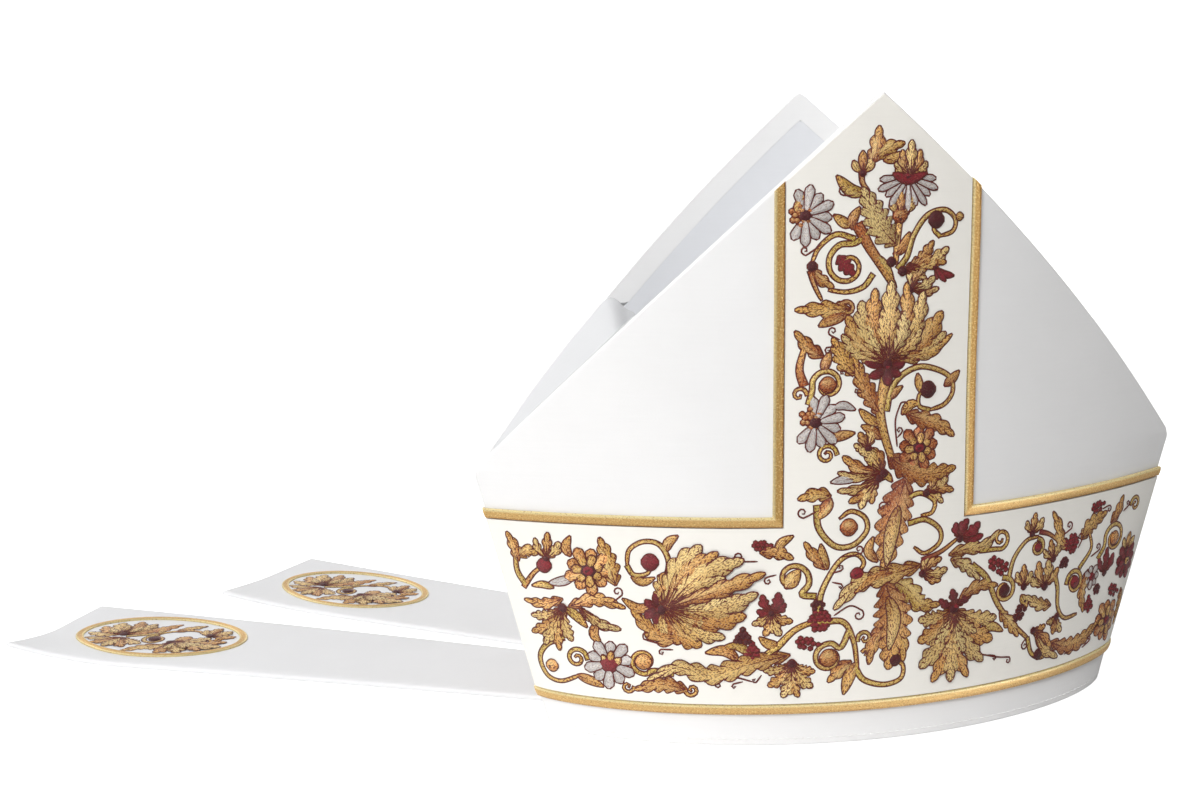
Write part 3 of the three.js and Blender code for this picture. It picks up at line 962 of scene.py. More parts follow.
@dataclass(frozen=True)
class Palmette:
    """A fan of lobes from one base to several tips, scalloped when it is large."""

    base: Pair
    tips: list[Pair]
    width: float
    tone: Tone = Tone.BRONZE
    tip: Tone = Tone.GOLD
    heart: Tone | None = Tone.WINE
    bend: float = 0.1
    level: float = 0.0

    def strokes(self) -> list[Stroke]:
        """The outer lobes first, the middle ones over them, each with a vein.

        Returns:
            The strokes, lowest first.
        """
        base = np.array(self.base, float)
        count = len(self.tips)
        middle = (count - 1) / 2
        made = []
        order = sorted(range(count), key=lambda k: -abs(k - middle))
        for rank, k in enumerate(order):
            tip = np.array(self.tips[k], float)
            along = tip - base
            aside = np.array([-along[1], along[0]]) * self.bend * np.sign(middle - k)
            foot, belly = base + along * 0.06, base + along * 0.55 + aside
            level = self.level + 0.2 * (rank // 2)
            spine = [tuple(foot), tuple(belly), tuple(tip)]
            wide = self.width * (0.68 + 0.3 * ((k * 7) % 5) / 5)
            body, end = (self.tone, self.tip) if k % 2 else (self.tip, Tone.PALE)
            if self.tone.family != "gold":
                body, end = self.tone, self.tip
            teeth = 4 if self.width >= 6 else 2 if self.width > 4 else 0
            frond = Leaf(spine, wide * 1.1, body, teeth, level, end, Outline.FROND)
            made += frond.strokes()
        if self.heart is not None:
            size = min(self.width * 0.3, 2.0)
            made += Berry(self.base, size, self.heart, self.level + 0.4).strokes()
        return made


@dataclass(frozen=True)
class Daisy:
    """Petals round a heart, over all or part of a turn, in degrees."""

    centre: Pair
    radius: float
    petals: int = 9
    tone: Tone = Tone.SILVER
    heart: Tone = Tone.CRIMSON
    start: float = 0.0
    sweep: float = 360.0
    level: float = 0.0
    heart_size: float = 0.34

    def strokes(self) -> list[Stroke]:
        """The petals, every other one a little longer, then the heart.

        Returns:
            The strokes, lowest first.
        """
        made = []
        full = self.sweep >= 359
        gaps = self.petals if full else max(self.petals - 1, 1)
        arc = math.radians(self.sweep) / gaps
        width = min(1.5 * self.radius * math.sin(min(arc, 1.4) / 2), self.radius * 0.6)
        for k in range(self.petals):
            angle = math.radians(self.start) + arc * k
            reach = self.radius * (1.0 if k % 2 else 0.88)
            way = np.array([math.cos(angle), math.sin(angle)])
            foot = np.array(self.centre) + way * self.radius * 0.18
            tip = np.array(self.centre) + way * reach
            rise = self.level + 0.2 * (k % 2)
            spine = [tuple(foot), tuple(tip)]
            made.append(stroke(spine, width, self.tone, Outline.PETAL, level=rise))
        made += Berry(self.centre, self.radius * self.heart_size, self.heart, self.level + 0.3).strokes()
        return made


@dataclass(frozen=True)
class Cluster:
    """Small knots packed loosely in an oval patch."""

    centre: Pair
    radius: float
    knot: float = 1.0
    tone: Tone = Tone.CRIMSON
    length: float = 0.0
    turn: float = 0.0

    def strokes(self) -> list[Stroke]:
        """The knots, in staggered rows.

        Returns:
            The strokes, lowest first.
        """
        made = []
        pitch = self.knot * (2.3 if self.length else 1.75)
        reach = self.radius + self.length / 2
        turn = math.radians(self.turn)
        steps = int(reach / pitch) + 1
        for row in range(-steps, steps + 1):
            for column in range(-steps, steps + 1):
                along = (column + 0.5 * (row % 2)) * pitch + 0.25 * math.sin(5 * row + 3 * column)
                across = row * pitch * 0.86 + 0.25 * math.cos(4 * row + 7 * column)
                if math.hypot(along / reach, across / self.radius) > 1:
                    continue
                u = self.centre[0] + along * math.cos(turn) - across * math.sin(turn)
                z = self.centre[1] + along * math.sin(turn) + across * math.cos(turn)
                made += Berry((u, z), self.knot * 0.85, self.tone, 0.1).strokes()
        return made


@dataclass(frozen=True)
class Scroll:
    """A stem that winds into a spiral, round a berry or a small leaf."""

    centre: Pair
    radius: float
    start: float
    turns: float = 1.4
    hand: int = 1
    width: float = 1.9
    tone: Tone = Tone.OLIVE
    berry: float = 0.0
    berry_tone: Tone = Tone.CRIMSON
    tail: Pair | None = None

    def strokes(self) -> list[Stroke]:
        """The tail, if there is one, the winding stem, and its berry.

        Returns:
            The strokes, lowest first.
        """
        count = max(8, int(self.turns * 10))
        angles = math.radians(self.start) + self.hand * np.linspace(0, 2 * math.pi * self.turns, count)
        inner = 0.42 if self.berry else 0.2
        radii = self.radius * np.linspace(1, inner, count)
        points = [
            (self.centre[0] + r * math.cos(a), self.centre[1] + r * math.sin(a))
            for a, r in zip(angles, radii)
        ]
        if self.tail is not None:
            points = [self.tail, *points]
        made = [stroke(points, self.width, self.tone, tip=Tone.GOLD)]
        if self.berry:
            made += Berry(self.centre, self.berry, self.berry_tone).strokes()
        return made


@dataclass(frozen=True)
class Tendril:
    """A thin dark thread that ends in a curl."""

    points: list[Pair]
    curl: float = 2.0
    hand: int = 1
    width: float = 0.8
    tone: Tone = Tone.OUTLINE

    def strokes(self) -> list[Stroke]:
        """One thin line that keeps turning at its end.

        Returns:
            The strokes, lowest first.
        """
        last, before = np.array(self.points[-1], float), np.array(self.points[-2], float)
        way = (last - before) / max(float(np.hypot(*(last - before))), TINY)
        aside = np.array([-way[1], way[0]]) * self.hand
        centre = last + aside * self.curl
        start = math.atan2(*(last - centre)[::-1])
        angles = start + self.hand * np.linspace(0.5, 7.4, 11)
        radii = self.curl * np.linspace(0.95, 0.25, 11)
        curl = [(centre[0] + r * math.cos(a), centre[1] + r * math.sin(a)) for a, r in zip(angles, radii)]
        line = stroke([*self.points, *curl], self.width, self.tone, Outline.EVEN, outlined=False)
        return [Stroke(line.line, line.half, self.tone, self.tone, 0.05, 0.3, False)]


@dataclass(frozen=True)
class Peony:
    """Rounded petals in rings, seen from the front."""

    centre: Pair
    radius: float
    tone: Tone = Tone.BRONZE
    inner: Tone = Tone.GOLD
    heart: Tone = Tone.CRIMSON
    turn: float = 0.0

    def strokes(self) -> list[Stroke]:
        """An outer and an inner ring of petals round a heart.

        Returns:
            The strokes, lowest first.
        """
        outer = Daisy(self.centre, self.radius, 9, self.tone, Tone.WINE, self.turn)
        middle = Daisy(self.centre, self.radius * 0.66, 7, self.inner, self.heart, self.turn + 20)
        raised = [
            Stroke(s.line, s.half, s.tone, s.tip, s.level + 0.35, s.crown, s.outlined)
            for s in middle.strokes()
        ]
        return outer.strokes()[:-1] + raised


@dataclass
class Needlework:
    """All the embroidery on one surface, sewn as one piece for each family of threads."""

    name: str
    surface: Surface
    motifs: list[Motif]
    ground: float
    limit: Callable[[Array, Array], tuple[Array, Array]] | None = None
    seed: int = 7
    outline_width: ClassVar[float] = 0.5
    outline_end: ClassVar[float] = 0.45
    foot_shade: ClassVar[tuple[float, ...]] = (0.5, 0.36, 0.26, 1.0)

    def collect(self) -> dict[str, list[Stroke]]:
        """Sorts every stroke by family and adds the dark thread round it.

        Returns:
            The strokes of each family.
        """
        sorted_strokes: dict[str, list[Stroke]] = {"gold": [], "crimson": [], "silver": []}
        for motif in self.motifs:
            for run in motif.strokes():
                sorted_strokes[run.tone.family].append(run)
                if run.outlined:
                    sorted_strokes["crimson"].append(self.backing(run))
        return sorted_strokes

    def backing(self, run: Stroke) -> Stroke:
        """The dark stitches that show round a stroke's edge.

        Args:
            run: The stroke to go round.

        Returns:
            The wider strip under it.
        """
        line = run.line.copy()
        for end, inner in ((0, 1), (-1, -2)):
            way = line[end] - line[inner]
            line[end] += way / max(float(np.hypot(*way)), TINY) * self.outline_end
        half = run.half + self.outline_width
        return Stroke(line, half, Tone.OUTLINE, Tone.OUTLINE, run.level, 0.12, False)

    def build(self, wardrobe: Wardrobe) -> list[Piece]:
        """Sews the strokes as raised runs and gives each family its thread.

        Args:
            wardrobe: Where the threads' finishes come from.

        Returns:
            A piece for each family.
        """
        finishes = {"gold": GOLD_THREAD, "crimson": CRIMSON_THREAD, "silver": SILVER_THREAD}
        made = []
        rng = np.random.default_rng(self.seed)
        for family, runs in self.collect().items():
            if not runs:
                continue
            flat, out, tones, uv, faces, start = [], [], [], [], [], 0
            for run in runs:
                grid, height, colour, thread = self.raised(run, rng)
                rows, columns = grid.shape[:2]
                number = start + np.arange(rows * columns).reshape(rows, columns)
                faces.append(quads(number, True))
                flat.append(grid.reshape(-1, 2))
                out.append(height.ravel())
                tones.append(colour.reshape(-1, 4))
                uv.append(thread.reshape(-1, 2))
                start += rows * columns
            place, height = np.vstack(flat), np.concatenate(out)
            u, v = place.T
            if self.limit is not None:
                u, v = self.limit(u, v)
            points = self.surface.place(u, v, self.ground + height)
            name, cells = f"{self.name}_{family}", np.vstack(faces).tolist()
            piece = make_object(name, points, cells, np.vstack(uv), np.vstack(tones), sharp=80)
            made.append(wardrobe.dress(piece, finishes[family]))
        return made

    def raised(self, run: Stroke, rng: np.random.Generator) -> tuple[Array, ...]:
        """Turns a stroke into a domed strip, its colour painted darker towards the edges as painted shade and
        paler along one side as a painted highlight.

        Args:
            run: The stroke.
            rng: Where each stroke's slight change of shade comes from.

        Returns:
            The flat grid, its heights, its thread colours and its thread directions.
        """
        across = np.linspace(-1, 1, 3 if run.crown <= 0.15 else 7 if run.half.max() > 2.2 else 5)
        across = np.sin(across * math.pi / 2)
        ahead = headings(run.line)
        aside = np.stack([ahead[:, 1], -ahead[:, 0]], axis=-1)
        reach = run.half[:, None] * across[None, :]
        grid = run.line[:, None, :] + aside[:, None, :] * reach[..., None]
        swell = np.sqrt(np.clip(run.half / max(run.half.max(), TINY), 0, 1))[:, None]
        height = run.level + 0.04 + run.crown * swell * (1 - across[None, :] ** 2)
        t = np.linspace(0, 1, len(run.line))
        warm = mix(run.tone.linear, run.tip.linear, (t**1.3)[:, None])
        foot = np.array(self.foot_shade) if run.shade else np.ones(4)
        warm = (warm * mix(foot, np.ones(4), np.clip(t / 0.42, 0, 1)[:, None]))[:, None, :]
        # Painted shade: darker towards the stroke's edges and more on one side, times a slight random change
        # of tone for each stroke.
        shade = (1 - 0.24 * across[None, :] ** 2 - 0.2 * np.maximum(across, 0)) * rng.uniform(0.9, 1.14)
        colour = np.repeat(warm, len(across), axis=1) * shade[..., None]
        lit = np.zeros(colour.shape[:2])
        # Painted highlight: gold strokes go towards pale gold in a band along one side, with fewer dark
        # dashes there.
        if run.tone.family == "gold":
            band = np.exp(-(((across + 0.38) / 0.46) ** 2))
            lit = rng.uniform(0.25, 1.0) * band * np.sin(math.pi * t**0.75)[:, None]
            colour = mix(colour, Tone.PALE.linear, lit[..., None])
        colour[..., 3] = 1 - 0.8 * lit
        along = np.concatenate([[0], np.cumsum(np.hypot(*np.diff(run.line, axis=0).T))])
        offset = rng.uniform(0, 400, 2)
        thread = np.stack(np.broadcast_arrays(along[:, None] + offset[0], reach + offset[1]), axis=-1)
        return grid, height + np.zeros_like(reach), colour, thread


# ---------------------------------------------------------------- the needlework's chart
def orphrey_upright() -> list[Motif]:
    """The figures of the upright strip, from the apex down.

    Returns:
        The figures, lowest first.
    """
    gold, bronze, pale, olive = Tone.GOLD, Tone.COPPER, Tone.PALE, Tone.OLIVE
    crimson, wine, silver = Tone.CRIMSON, Tone.WINE, Tone.SILVER
    return [
        Leaf([(-5, 252), (-3, 258), (-2, 267)], 7, bronze, 2),
        Leaf([(-4, 254), (2, 258), (9, 260)], 6, gold, 2),
        Leaf([(0, 253), (5, 254), (11, 256)], 4, gold),
        Palmette((-9, 248), [(-13, 253), (-9, 257), (-5, 254)], 4, bronze),
        Stem([(-9.5, 249), (-9, 244), (-6, 240)], 2.2, bronze),
        Leaf([(-8, 240), (-14, 241), (-20, 247)], 5, olive),
        Tendril([(-12, 239), (-17, 239)], 2.2, -1),
        Daisy((11, 246), 14, 11, silver, crimson, 184, 172, 0.0, 0.18),
        Palmette(
            (11.5, 246),
            [(5, 252), (8, 257), (12, 261), (16, 257), (19, 252)],
            4.6,
            bronze,
            heart=None,
            level=0.3,
        ),
        Cluster((12, 251), 3.8, 1.3, gold),
        Leaf([(4, 247.5), (11, 245), (19, 247.5)], 3.8, crimson, 0, 0.6, crimson),
        Palmette((7.5, 229), [(4, 238), (8, 240), (13, 238)], 4.4, bronze),
        Berry((7.5, 230), 3.0, bronze),
        Stem([(7, 227), (6.5, 220), (6, 210)], 3.0, gold),
        Leaf([(5, 214), (9, 217), (12, 223)], 4, bronze),
        Leaf([(6, 218), (-1, 226), (-9, 242)], 12, pale, 6, 0.2, pale),
        Stem([(7, 208), (11, 213), (14, 222), (20, 230), (28, 232), (33, 228), (32, 223), (26, 221)], 2.2),
        Stem([(26, 221), (23, 224), (24, 228)], 1.6, olive, 3.4, wine),
        Berry((35, 229), 1.6, gold),
        Palmette((9, 207), [(20, 203), (29, 210), (30, 216), (23, 219)], 6, bronze, gold),
        Palmette((24, 208), [(25, 203), (29, 202), (33, 204)], 2.6, crimson, crimson),
        Daisy((-33, 231), 12.5, 9, silver, wine, -118, 226, 0.0, 0.2),
        Cluster((-35, 231), 4.2, 1.3, bronze),
        Leaf([(-33, 229), (-36, 234), (-33, 240)], 4, gold),
        Leaf([(-13, 225), (-13, 229), (-10, 234)], 4, bronze),
        Leaf([(-14, 226), (-17, 228), (-21, 231)], 4, gold),
        Scroll((-15, 210), 10, 70, 1.25, 1, 2.2, olive, 0, crimson, (-6, 224)),
        Stem([(-12, 221), (-20, 223), (-27, 218), (-30, 212)], 2.0),
        Leaf([(-19, 214), (-16, 210), (-12, 206)], 6, crimson, 3, 0.0, crimson),
        Tendril([(-26, 219), (-32, 215)], 2.0, -1),
        Berry((-30, 210), 2.0, wine),
        Leaf([(-30, 209), (-27, 205), (-21, 201)], 5, bronze, 2),
        Stem([(-31, 208), (-29, 202), (-26, 196)], 1.8, bronze),
        Stem([(-4, 206), (-8, 201), (-15, 199), (-23, 200)], 2.0),
        Stem([(-11, 227), (-6, 218), (-2, 212), (6, 200)], 4.4, bronze),
        Leaf([(-3, 214), (1, 210), (5, 204)], 3, olive),
        Berry((4, 211), 1.8, wine),
        Palmette((13, 199), [(14, 208), (19, 208), (24, 204), (26, 199)], 4.4, bronze, pale),
        Leaf([(-14, 192), (-23, 192), (-37, 192)], 7, gold, 3),
        Leaf([(-15, 190), (-21, 188), (-27, 185)], 5, bronze),
        Scroll((-15, 192), 3.6, 200, 1.3, -1, 1.7, bronze),
        Palmette(
            (3, 168),
            [(-17, 181), (-15, 189), (-9, 195), (-3, 200), (4, 203)]
            + [(11, 202), (19, 198), (28, 189), (30, 180)],
            9.0,
        ),
        Palmette((4, 170), [(-6, 186), (2, 191), (10, 190), (18, 182)], 6.5, gold, pale, None, level=0.6),
        Leaf([(6, 171), (16, 171), (25, 173), (33, 179)], 5, gold, 2),
        Palmette((3, 167), [(-8, 171), (-5, 163), (3, 159), (9, 163), (11, 169)], 4, wine, crimson, crimson),
        Leaf([(-25, 172), (-31, 176), (-37, 183)], 6, bronze, 2),
        Stem([(-33, 160), (-35, 167), (-33, 176)], 3.4, bronze),
        Tendril([(-18, 179), (-22, 181)], 2.0, -1),
        Tendril([(-17, 176), (-23, 176)], 1.5),
        Leaf([(-11, 164), (-16, 170), (-21, 180)], 8, gold, 4),
        Tendril([(-12, 163), (-16, 166)], 1.2),
        Tendril([(-6, 157), (-10, 156)], 1.2, -1),
        Stem([(3, 165), (1, 155), (0, 148), (2, 138), (6, 126)], 4.6, gold),
        Leaf([(1, 146), (-4, 154), (-8, 161), (-12, 172)], 8, bronze, 5),
        Leaf([(0, 142), (-5, 145), (-9, 149)], 4, gold),
        Leaf([(1, 136), (-4, 140), (-8, 142)], 4, bronze),
        Stem(
            [(3, 148), (5, 157), (10, 163), (18, 166), (27, 164), (33, 160), (34, 154), (30, 149), (23, 147)],
            2.3,
        ),
        Stem([(23, 147), (18, 149), (18, 154), (22, 156)], 1.6, olive, 3.4, wine),
        Leaf([(30, 157), (34, 160), (37, 163)], 4, bronze),
        Leaf([(17, 163), (18, 158), (21, 153)], 3.4, gold),
        Leaf([(5, 153), (7, 156), (10, 158)], 3, bronze),
        Tendril([(8, 132), (7, 143), (9, 150)], 2.2, -1),
        Tendril([(8, 136), (10, 138)], 1.6),
        Leaf([(12, 146), (20, 143), (28, 140), (35, 135)], 8, bronze, 4),
        Leaf([(10, 146), (14, 150), (18, 150)], 4, gold),
        Scroll((-23, 160), 7, 200, 1.1, -1, 2.2, olive, 3.4, bronze, (-31, 152)),
        Stem([(-29, 148), (-30, 153), (-30, 160)], 1.8),
        Leaf([(-25, 166), (-24, 169), (-22, 174)], 4, bronze),
        Scroll((-35, 156), 3.4, 0, 1.0, 1, 1.4, gold),
        Daisy((-28, 144), 12.5, 9, silver, wine, -130, 226, 0.0, 0.2),
        Cluster((-30, 146), 4.4, 1.3, bronze),
        Leaf([(-20, 150), (-16, 151), (-11, 149)], 3.4, silver, 0, 0.0, silver),
        Leaf([(-22, 137), (-17, 138), (-11, 139)], 4, bronze),
        Palmette((-5, 132), [(-11, 134), (-9, 139), (-4, 142)], 4.4, bronze),
        Peony((18, 131), 10, bronze, gold, crimson, 10),
        Leaf([(4, 128), (15, 121), (25, 119), (36, 121)], 11, bronze, 6),
        Palmette((2, 121), [(-18, 122), (-16, 129), (-9, 132), (-3, 132)], 5.5, bronze, gold),
        Leaf([(0, 123), (-4, 127), (-6, 132)], 3.4, olive),
        Leaf([(-1, 118), (3, 120), (6, 117)], 3.4, olive),
        Leaf([(-10, 119), (-15, 119), (-21, 118)], 3.6, silver, 0, 0.0, silver),
        Scroll((-23, 130), 4.5, 0, 1.4, 1, 1.5),
        Palmette((0, 119), [(-18, 114), (-13, 109), (-8, 106), (-3, 108)], 5.2, bronze, gold),
        Leaf([(-21, 112), (-27, 113), (-35, 111)], 6, gold, 2),
        Leaf([(-21, 111), (-23, 107), (-27, 102)], 5, bronze),
        Tendril([(-26, 106), (-32, 103)], 2.4, -1),
        Stem([(-27, 108), (-26, 98), (-19, 90), (-11, 90), (-5, 96), (-6, 102), (-12, 105), (-17, 102)], 2.4),
        Berry((-13, 98), 3.6, bronze),
        Palmette((22, 111), [(30, 106), (35, 111), (32, 117), (26, 117)], 4.6, bronze, gold, wine),
        Tendril([(6, 106), (3, 108)], 2.0),
        Stem([(11, 108), (19, 111), (26, 107), (25, 102), (20, 101)], 2.0),
        Leaf([(12, 118), (9, 108), (6, 96), (3, 78)], 15, bronze, 6, 0.1),
        Leaf([(9, 106), (6, 94), (4, 80)], 6, gold, 0, 0.5, pale),
    ]


def band_middle() -> list[Motif]:
    """The figures of the band below the upright strip.

    Returns:
        The figures, lowest first.
    """
    gold, bronze, pale, olive = Tone.GOLD, Tone.BRONZE, Tone.PALE, Tone.OLIVE
    crimson, wine = Tone.CRIMSON, Tone.WINE
    return [
        Stem([(14, 98), (22, 99), (29, 94), (29, 88), (22, 84), (17, 87)], 2.0),
        Stem([(21, 81), (30, 84), (38, 89)], 1.8, crimson),
        Palmette((39, 89), [(37, 96), (43, 97), (49, 95), (51, 89)], 5, crimson, crimson, wine),
        Leaf([(20, 79), (6, 76), (-8, 73), (-19, 62)], 9, gold, 5, 0.3, pale),
        Leaf([(8, 77), (-2, 75), (-10, 69)], 4, bronze, 0, 0.5),
        Palmette((21, 75), [(24, 82), (30, 81), (33, 76), (30, 71)], 4.6),
        Leaf([(6, 74), (15, 68), (21, 61), (30, 60)], 9, olive, 5),
        Leaf([(4, 72), (7, 62), (8, 50), (6, 33)], 17, bronze, 7, 0.1),
        Leaf([(5, 66), (8, 56), (6, 42)], 6, gold, 0, 0.5, pale),
        Leaf([(4, 54), (-1, 46), (-3, 36)], 6, bronze, 2),
        Leaf([(8, 52), (12, 46), (13, 36)], 6, gold, 2),
        Cluster((-26, 64), 2.6, 1.1, wine),
        Cluster((-25, 57), 4.6, 1.2),
        Tendril([(-19, 59), (-12, 63), (-7, 61)], 2.6, -1),
        Stem([(-26, 56), (-15, 56), (-10, 47), (-8, 34)], 2.4),
        Scroll((-21, 40), 7, 40, 1.2, 1, 2.2, olive, 3.8, bronze, (-12, 52)),
        Scroll((-5, 48), 3.4, 200, 1.2, -1, 1.5),
        Scroll((-4, 41), 2.2, 160, 1.1, -1, 1.2, gold),
        Leaf([(-11, 38), (-16, 34), (-21, 29)], 6, bronze, 2),
        Leaf([(-9, 37), (-12, 30), (-14, 23)], 5, gold),
        Stem([(-9, 35), (-5, 29), (4, 26), (12, 28), (13, 34), (9, 37)], 2.2, olive, 2.6, wine),
        Cluster((-30, 47), 2.4, 1.0, crimson, 8, -10),
        Stem([(-26, 60), (-24, 71), (-17, 83), (-10, 86), (-6, 82), (-9, 77)], 2.2, olive, 2.8, crimson),
        Tendril([(-16, 85), (-8, 86)], 2.0),
        Tendril([(-20, 78), (-16, 79)], 1.4),
        Tendril([(-20, 74), (-16, 73)], 1.2, -1),
        Leaf([(-23, 80), (-28, 86), (-32, 92)], 5, bronze, 2),
        Leaf([(-22, 80), (-24, 85), (-25, 91)], 4, gold),
        Leaf([(0, 82), (-4, 87), (-2, 93)], 4),
    ]


def band_left() -> list[Motif]:
    """The figures of the band to the left, which the right side answers.

    Returns:
        The figures, lowest first.
    """
    gold, bronze, pale, olive = Tone.GOLD, Tone.AMBER, Tone.PALE, Tone.OLIVE
    crimson, wine, silver = Tone.CRIMSON, Tone.WINE, Tone.SILVER
    return [
        Scroll((-37, 76), 8, 300, 1.2, 1, 2.4, olive, 0, crimson, (-27, 68)),
        Leaf([(-40, 72), (-37, 76), (-34, 80)], 6, gold),
        Leaf([(-51, 88), (-44, 88), (-37, 85)], 6, bronze, 2),
        Leaf([(-44, 88), (-42, 92), (-37, 95)], 3.6, gold),
        Cluster((-50, 91), 1.8, 0.8, crimson, 7, 0),
        Tendril([(-52, 84), (-60, 84)], 2.2, -1),
        Tendril([(-44, 78), (-48, 77)], 1.8),
        Palmette((-46, 61), [(-52, 62), (-50, 69), (-43, 70), (-40, 65)], 4.4, crimson, crimson, wine),
        Palmette((-46, 61), [(-54, 56), (-49, 51), (-42, 51), (-37, 57)], 5, bronze, gold, None),
        Cluster((-58, 50), 3.6, 1.2, wine),
        Cluster((-54, 44), 3.4, 1.1),
        Stem([(-53, 38), (-44, 45), (-36, 53), (-27, 57)], 3.2),
        Leaf([(-42, 46), (-47, 47), (-51, 50)], 4, gold),
        Palmette(
            (-37, 38), [(-49, 35), (-47, 28), (-41, 23), (-34, 23), (-28, 27), (-27, 34)], 6, bronze
        ),
        Leaf([(-38, 42), (-55, 38), (-72, 33), (-86, 36), (-99, 30)], 9, gold, 8, 0.2, pale),
        Leaf([(-60, 40), (-66, 44), (-74, 43)], 4.4, bronze),
        Leaf([(-54, 42), (-60, 46), (-66, 46)], 3.6, olive),
        Tendril([(-54, 30), (-62, 32), (-69, 30)], 1.6),
        Tendril([(-58, 30), (-62, 29)], 1.2),
        Tendril([(-50, 33), (-52, 30)], 1.2, -1),
        Palmette(
            (-93, 62),
            [(-90, 79), (-84, 83), (-76, 91), (-69, 88), (-58, 85), (-49, 79)]
            + [(-52, 70), (-57, 60), (-66, 50), (-76, 46), (-90, 50)],
            9.5,
        ),
        Palmette((-91, 63), [(-78, 77), (-66, 77), (-63, 68), (-72, 57)], 7, gold, pale, None, level=0.6),
        Palmette((-94, 62), [(-95, 70), (-100, 66), (-100, 58), (-95, 55)], 4, wine, crimson, crimson),
        Leaf([(-82, 50), (-94, 50), (-106, 61)], 8, bronze, 4),
        Tendril([(-92, 46), (-100, 48)], 2.0, -1),
        Tendril([(-88, 44), (-93, 44)], 1.4),
        Stem(
            [(-94, 66), (-91, 76), (-90, 84), (-94, 91), (-101, 92), (-107, 88), (-108, 81)],
            2.2,
        ),
        Stem([(-108, 81), (-105, 77), (-99, 78), (-98, 83)], 1.8, olive, 3.6, crimson),
        Leaf([(-96, 64), (-103, 62), (-110, 66)], 4, bronze),
        Leaf([(-106, 76), (-101, 74), (-96, 76)], 3.4, gold),
        Leaf([(-91, 88), (-90, 92), (-86, 95)], 4, bronze),
        Scroll((-101, 38), 6, 320, 1.2, -1, 2.0, olive, 3.4, bronze, (-88, 33)),
        Leaf([(-82, 26), (-93, 28), (-105, 25)], 7, bronze, 4),
        Scroll((-80, 26), 3.0, 180, 1.2, 1, 1.5, gold),
        Scroll((-108, 26), 2.8, 0, 1.1, -1, 1.3, gold),
        Leaf([(-157, 80), (-159, 87), (-162, 93)], 5, bronze, 2),
        Leaf([(-157, 82), (-153, 85), (-148, 84)], 6, gold, 2),
        Stem([(-154, 69), (-158, 76), (-158, 88)], 2.4),
        Stem([(-155, 68), (-150, 75), (-145, 79)], 2.0, bronze, 3.2, crimson),
        Palmette((-144, 82), [(-149, 91), (-143, 94), (-138, 90)], 4.4, bronze, gold),
        Leaf([(-133, 84), (-135, 88), (-133, 93)], 4, bronze),
        Peony((-125, 78), 11, bronze, gold, crimson, 0),
        Leaf([(-132, 74), (-138, 72), (-143, 71)], 4, silver, 0, 0.0, silver),
        Leaf([(-113, 72), (-116, 82), (-120, 93)], 8, gold, 4),
        Tendril([(-124, 67), (-116, 64), (-111, 67)], 2.4),
        Leaf([(-137, 64), (-146, 61), (-155, 62)], 5, bronze, 3),
        Leaf([(-141, 69), (-146, 70), (-151, 69)], 3, olive),
        Palmette((-137, 60), [(-152, 55), (-152, 47), (-146, 42), (-139, 40), (-133, 45)], 6, bronze),
        Leaf([(-136, 60), (-131, 57), (-126, 52)], 4, olive),
        Leaf([(-134, 61), (-122, 65), (-109, 62)], 6, bronze, 4),
        Palmette((-130, 61), [(-125, 55), (-118, 52), (-111, 52)], 4.2, gold, pale, None),
        Leaf([(-122, 54), (-123, 49), (-120, 45)], 4, bronze),
        Daisy((-116, 36), 11.5, 10, silver, crimson, 15),
        Palmette((-116, 36), [(-119, 40), (-115, 42), (-111, 39)], 3.2, gold, gold, crimson, level=0.5),
        Scroll((-131, 37), 5, 0, 1.4, 1, 1.8),
        Stem([(-137, 46), (-145, 42), (-149, 35), (-146, 27), (-139, 25), (-130, 29)], 2.2),
        Berry((-143, 32), 2.8, bronze),
        Leaf([(-131, 29), (-124, 27), (-119, 25)], 4, bronze),
    ]


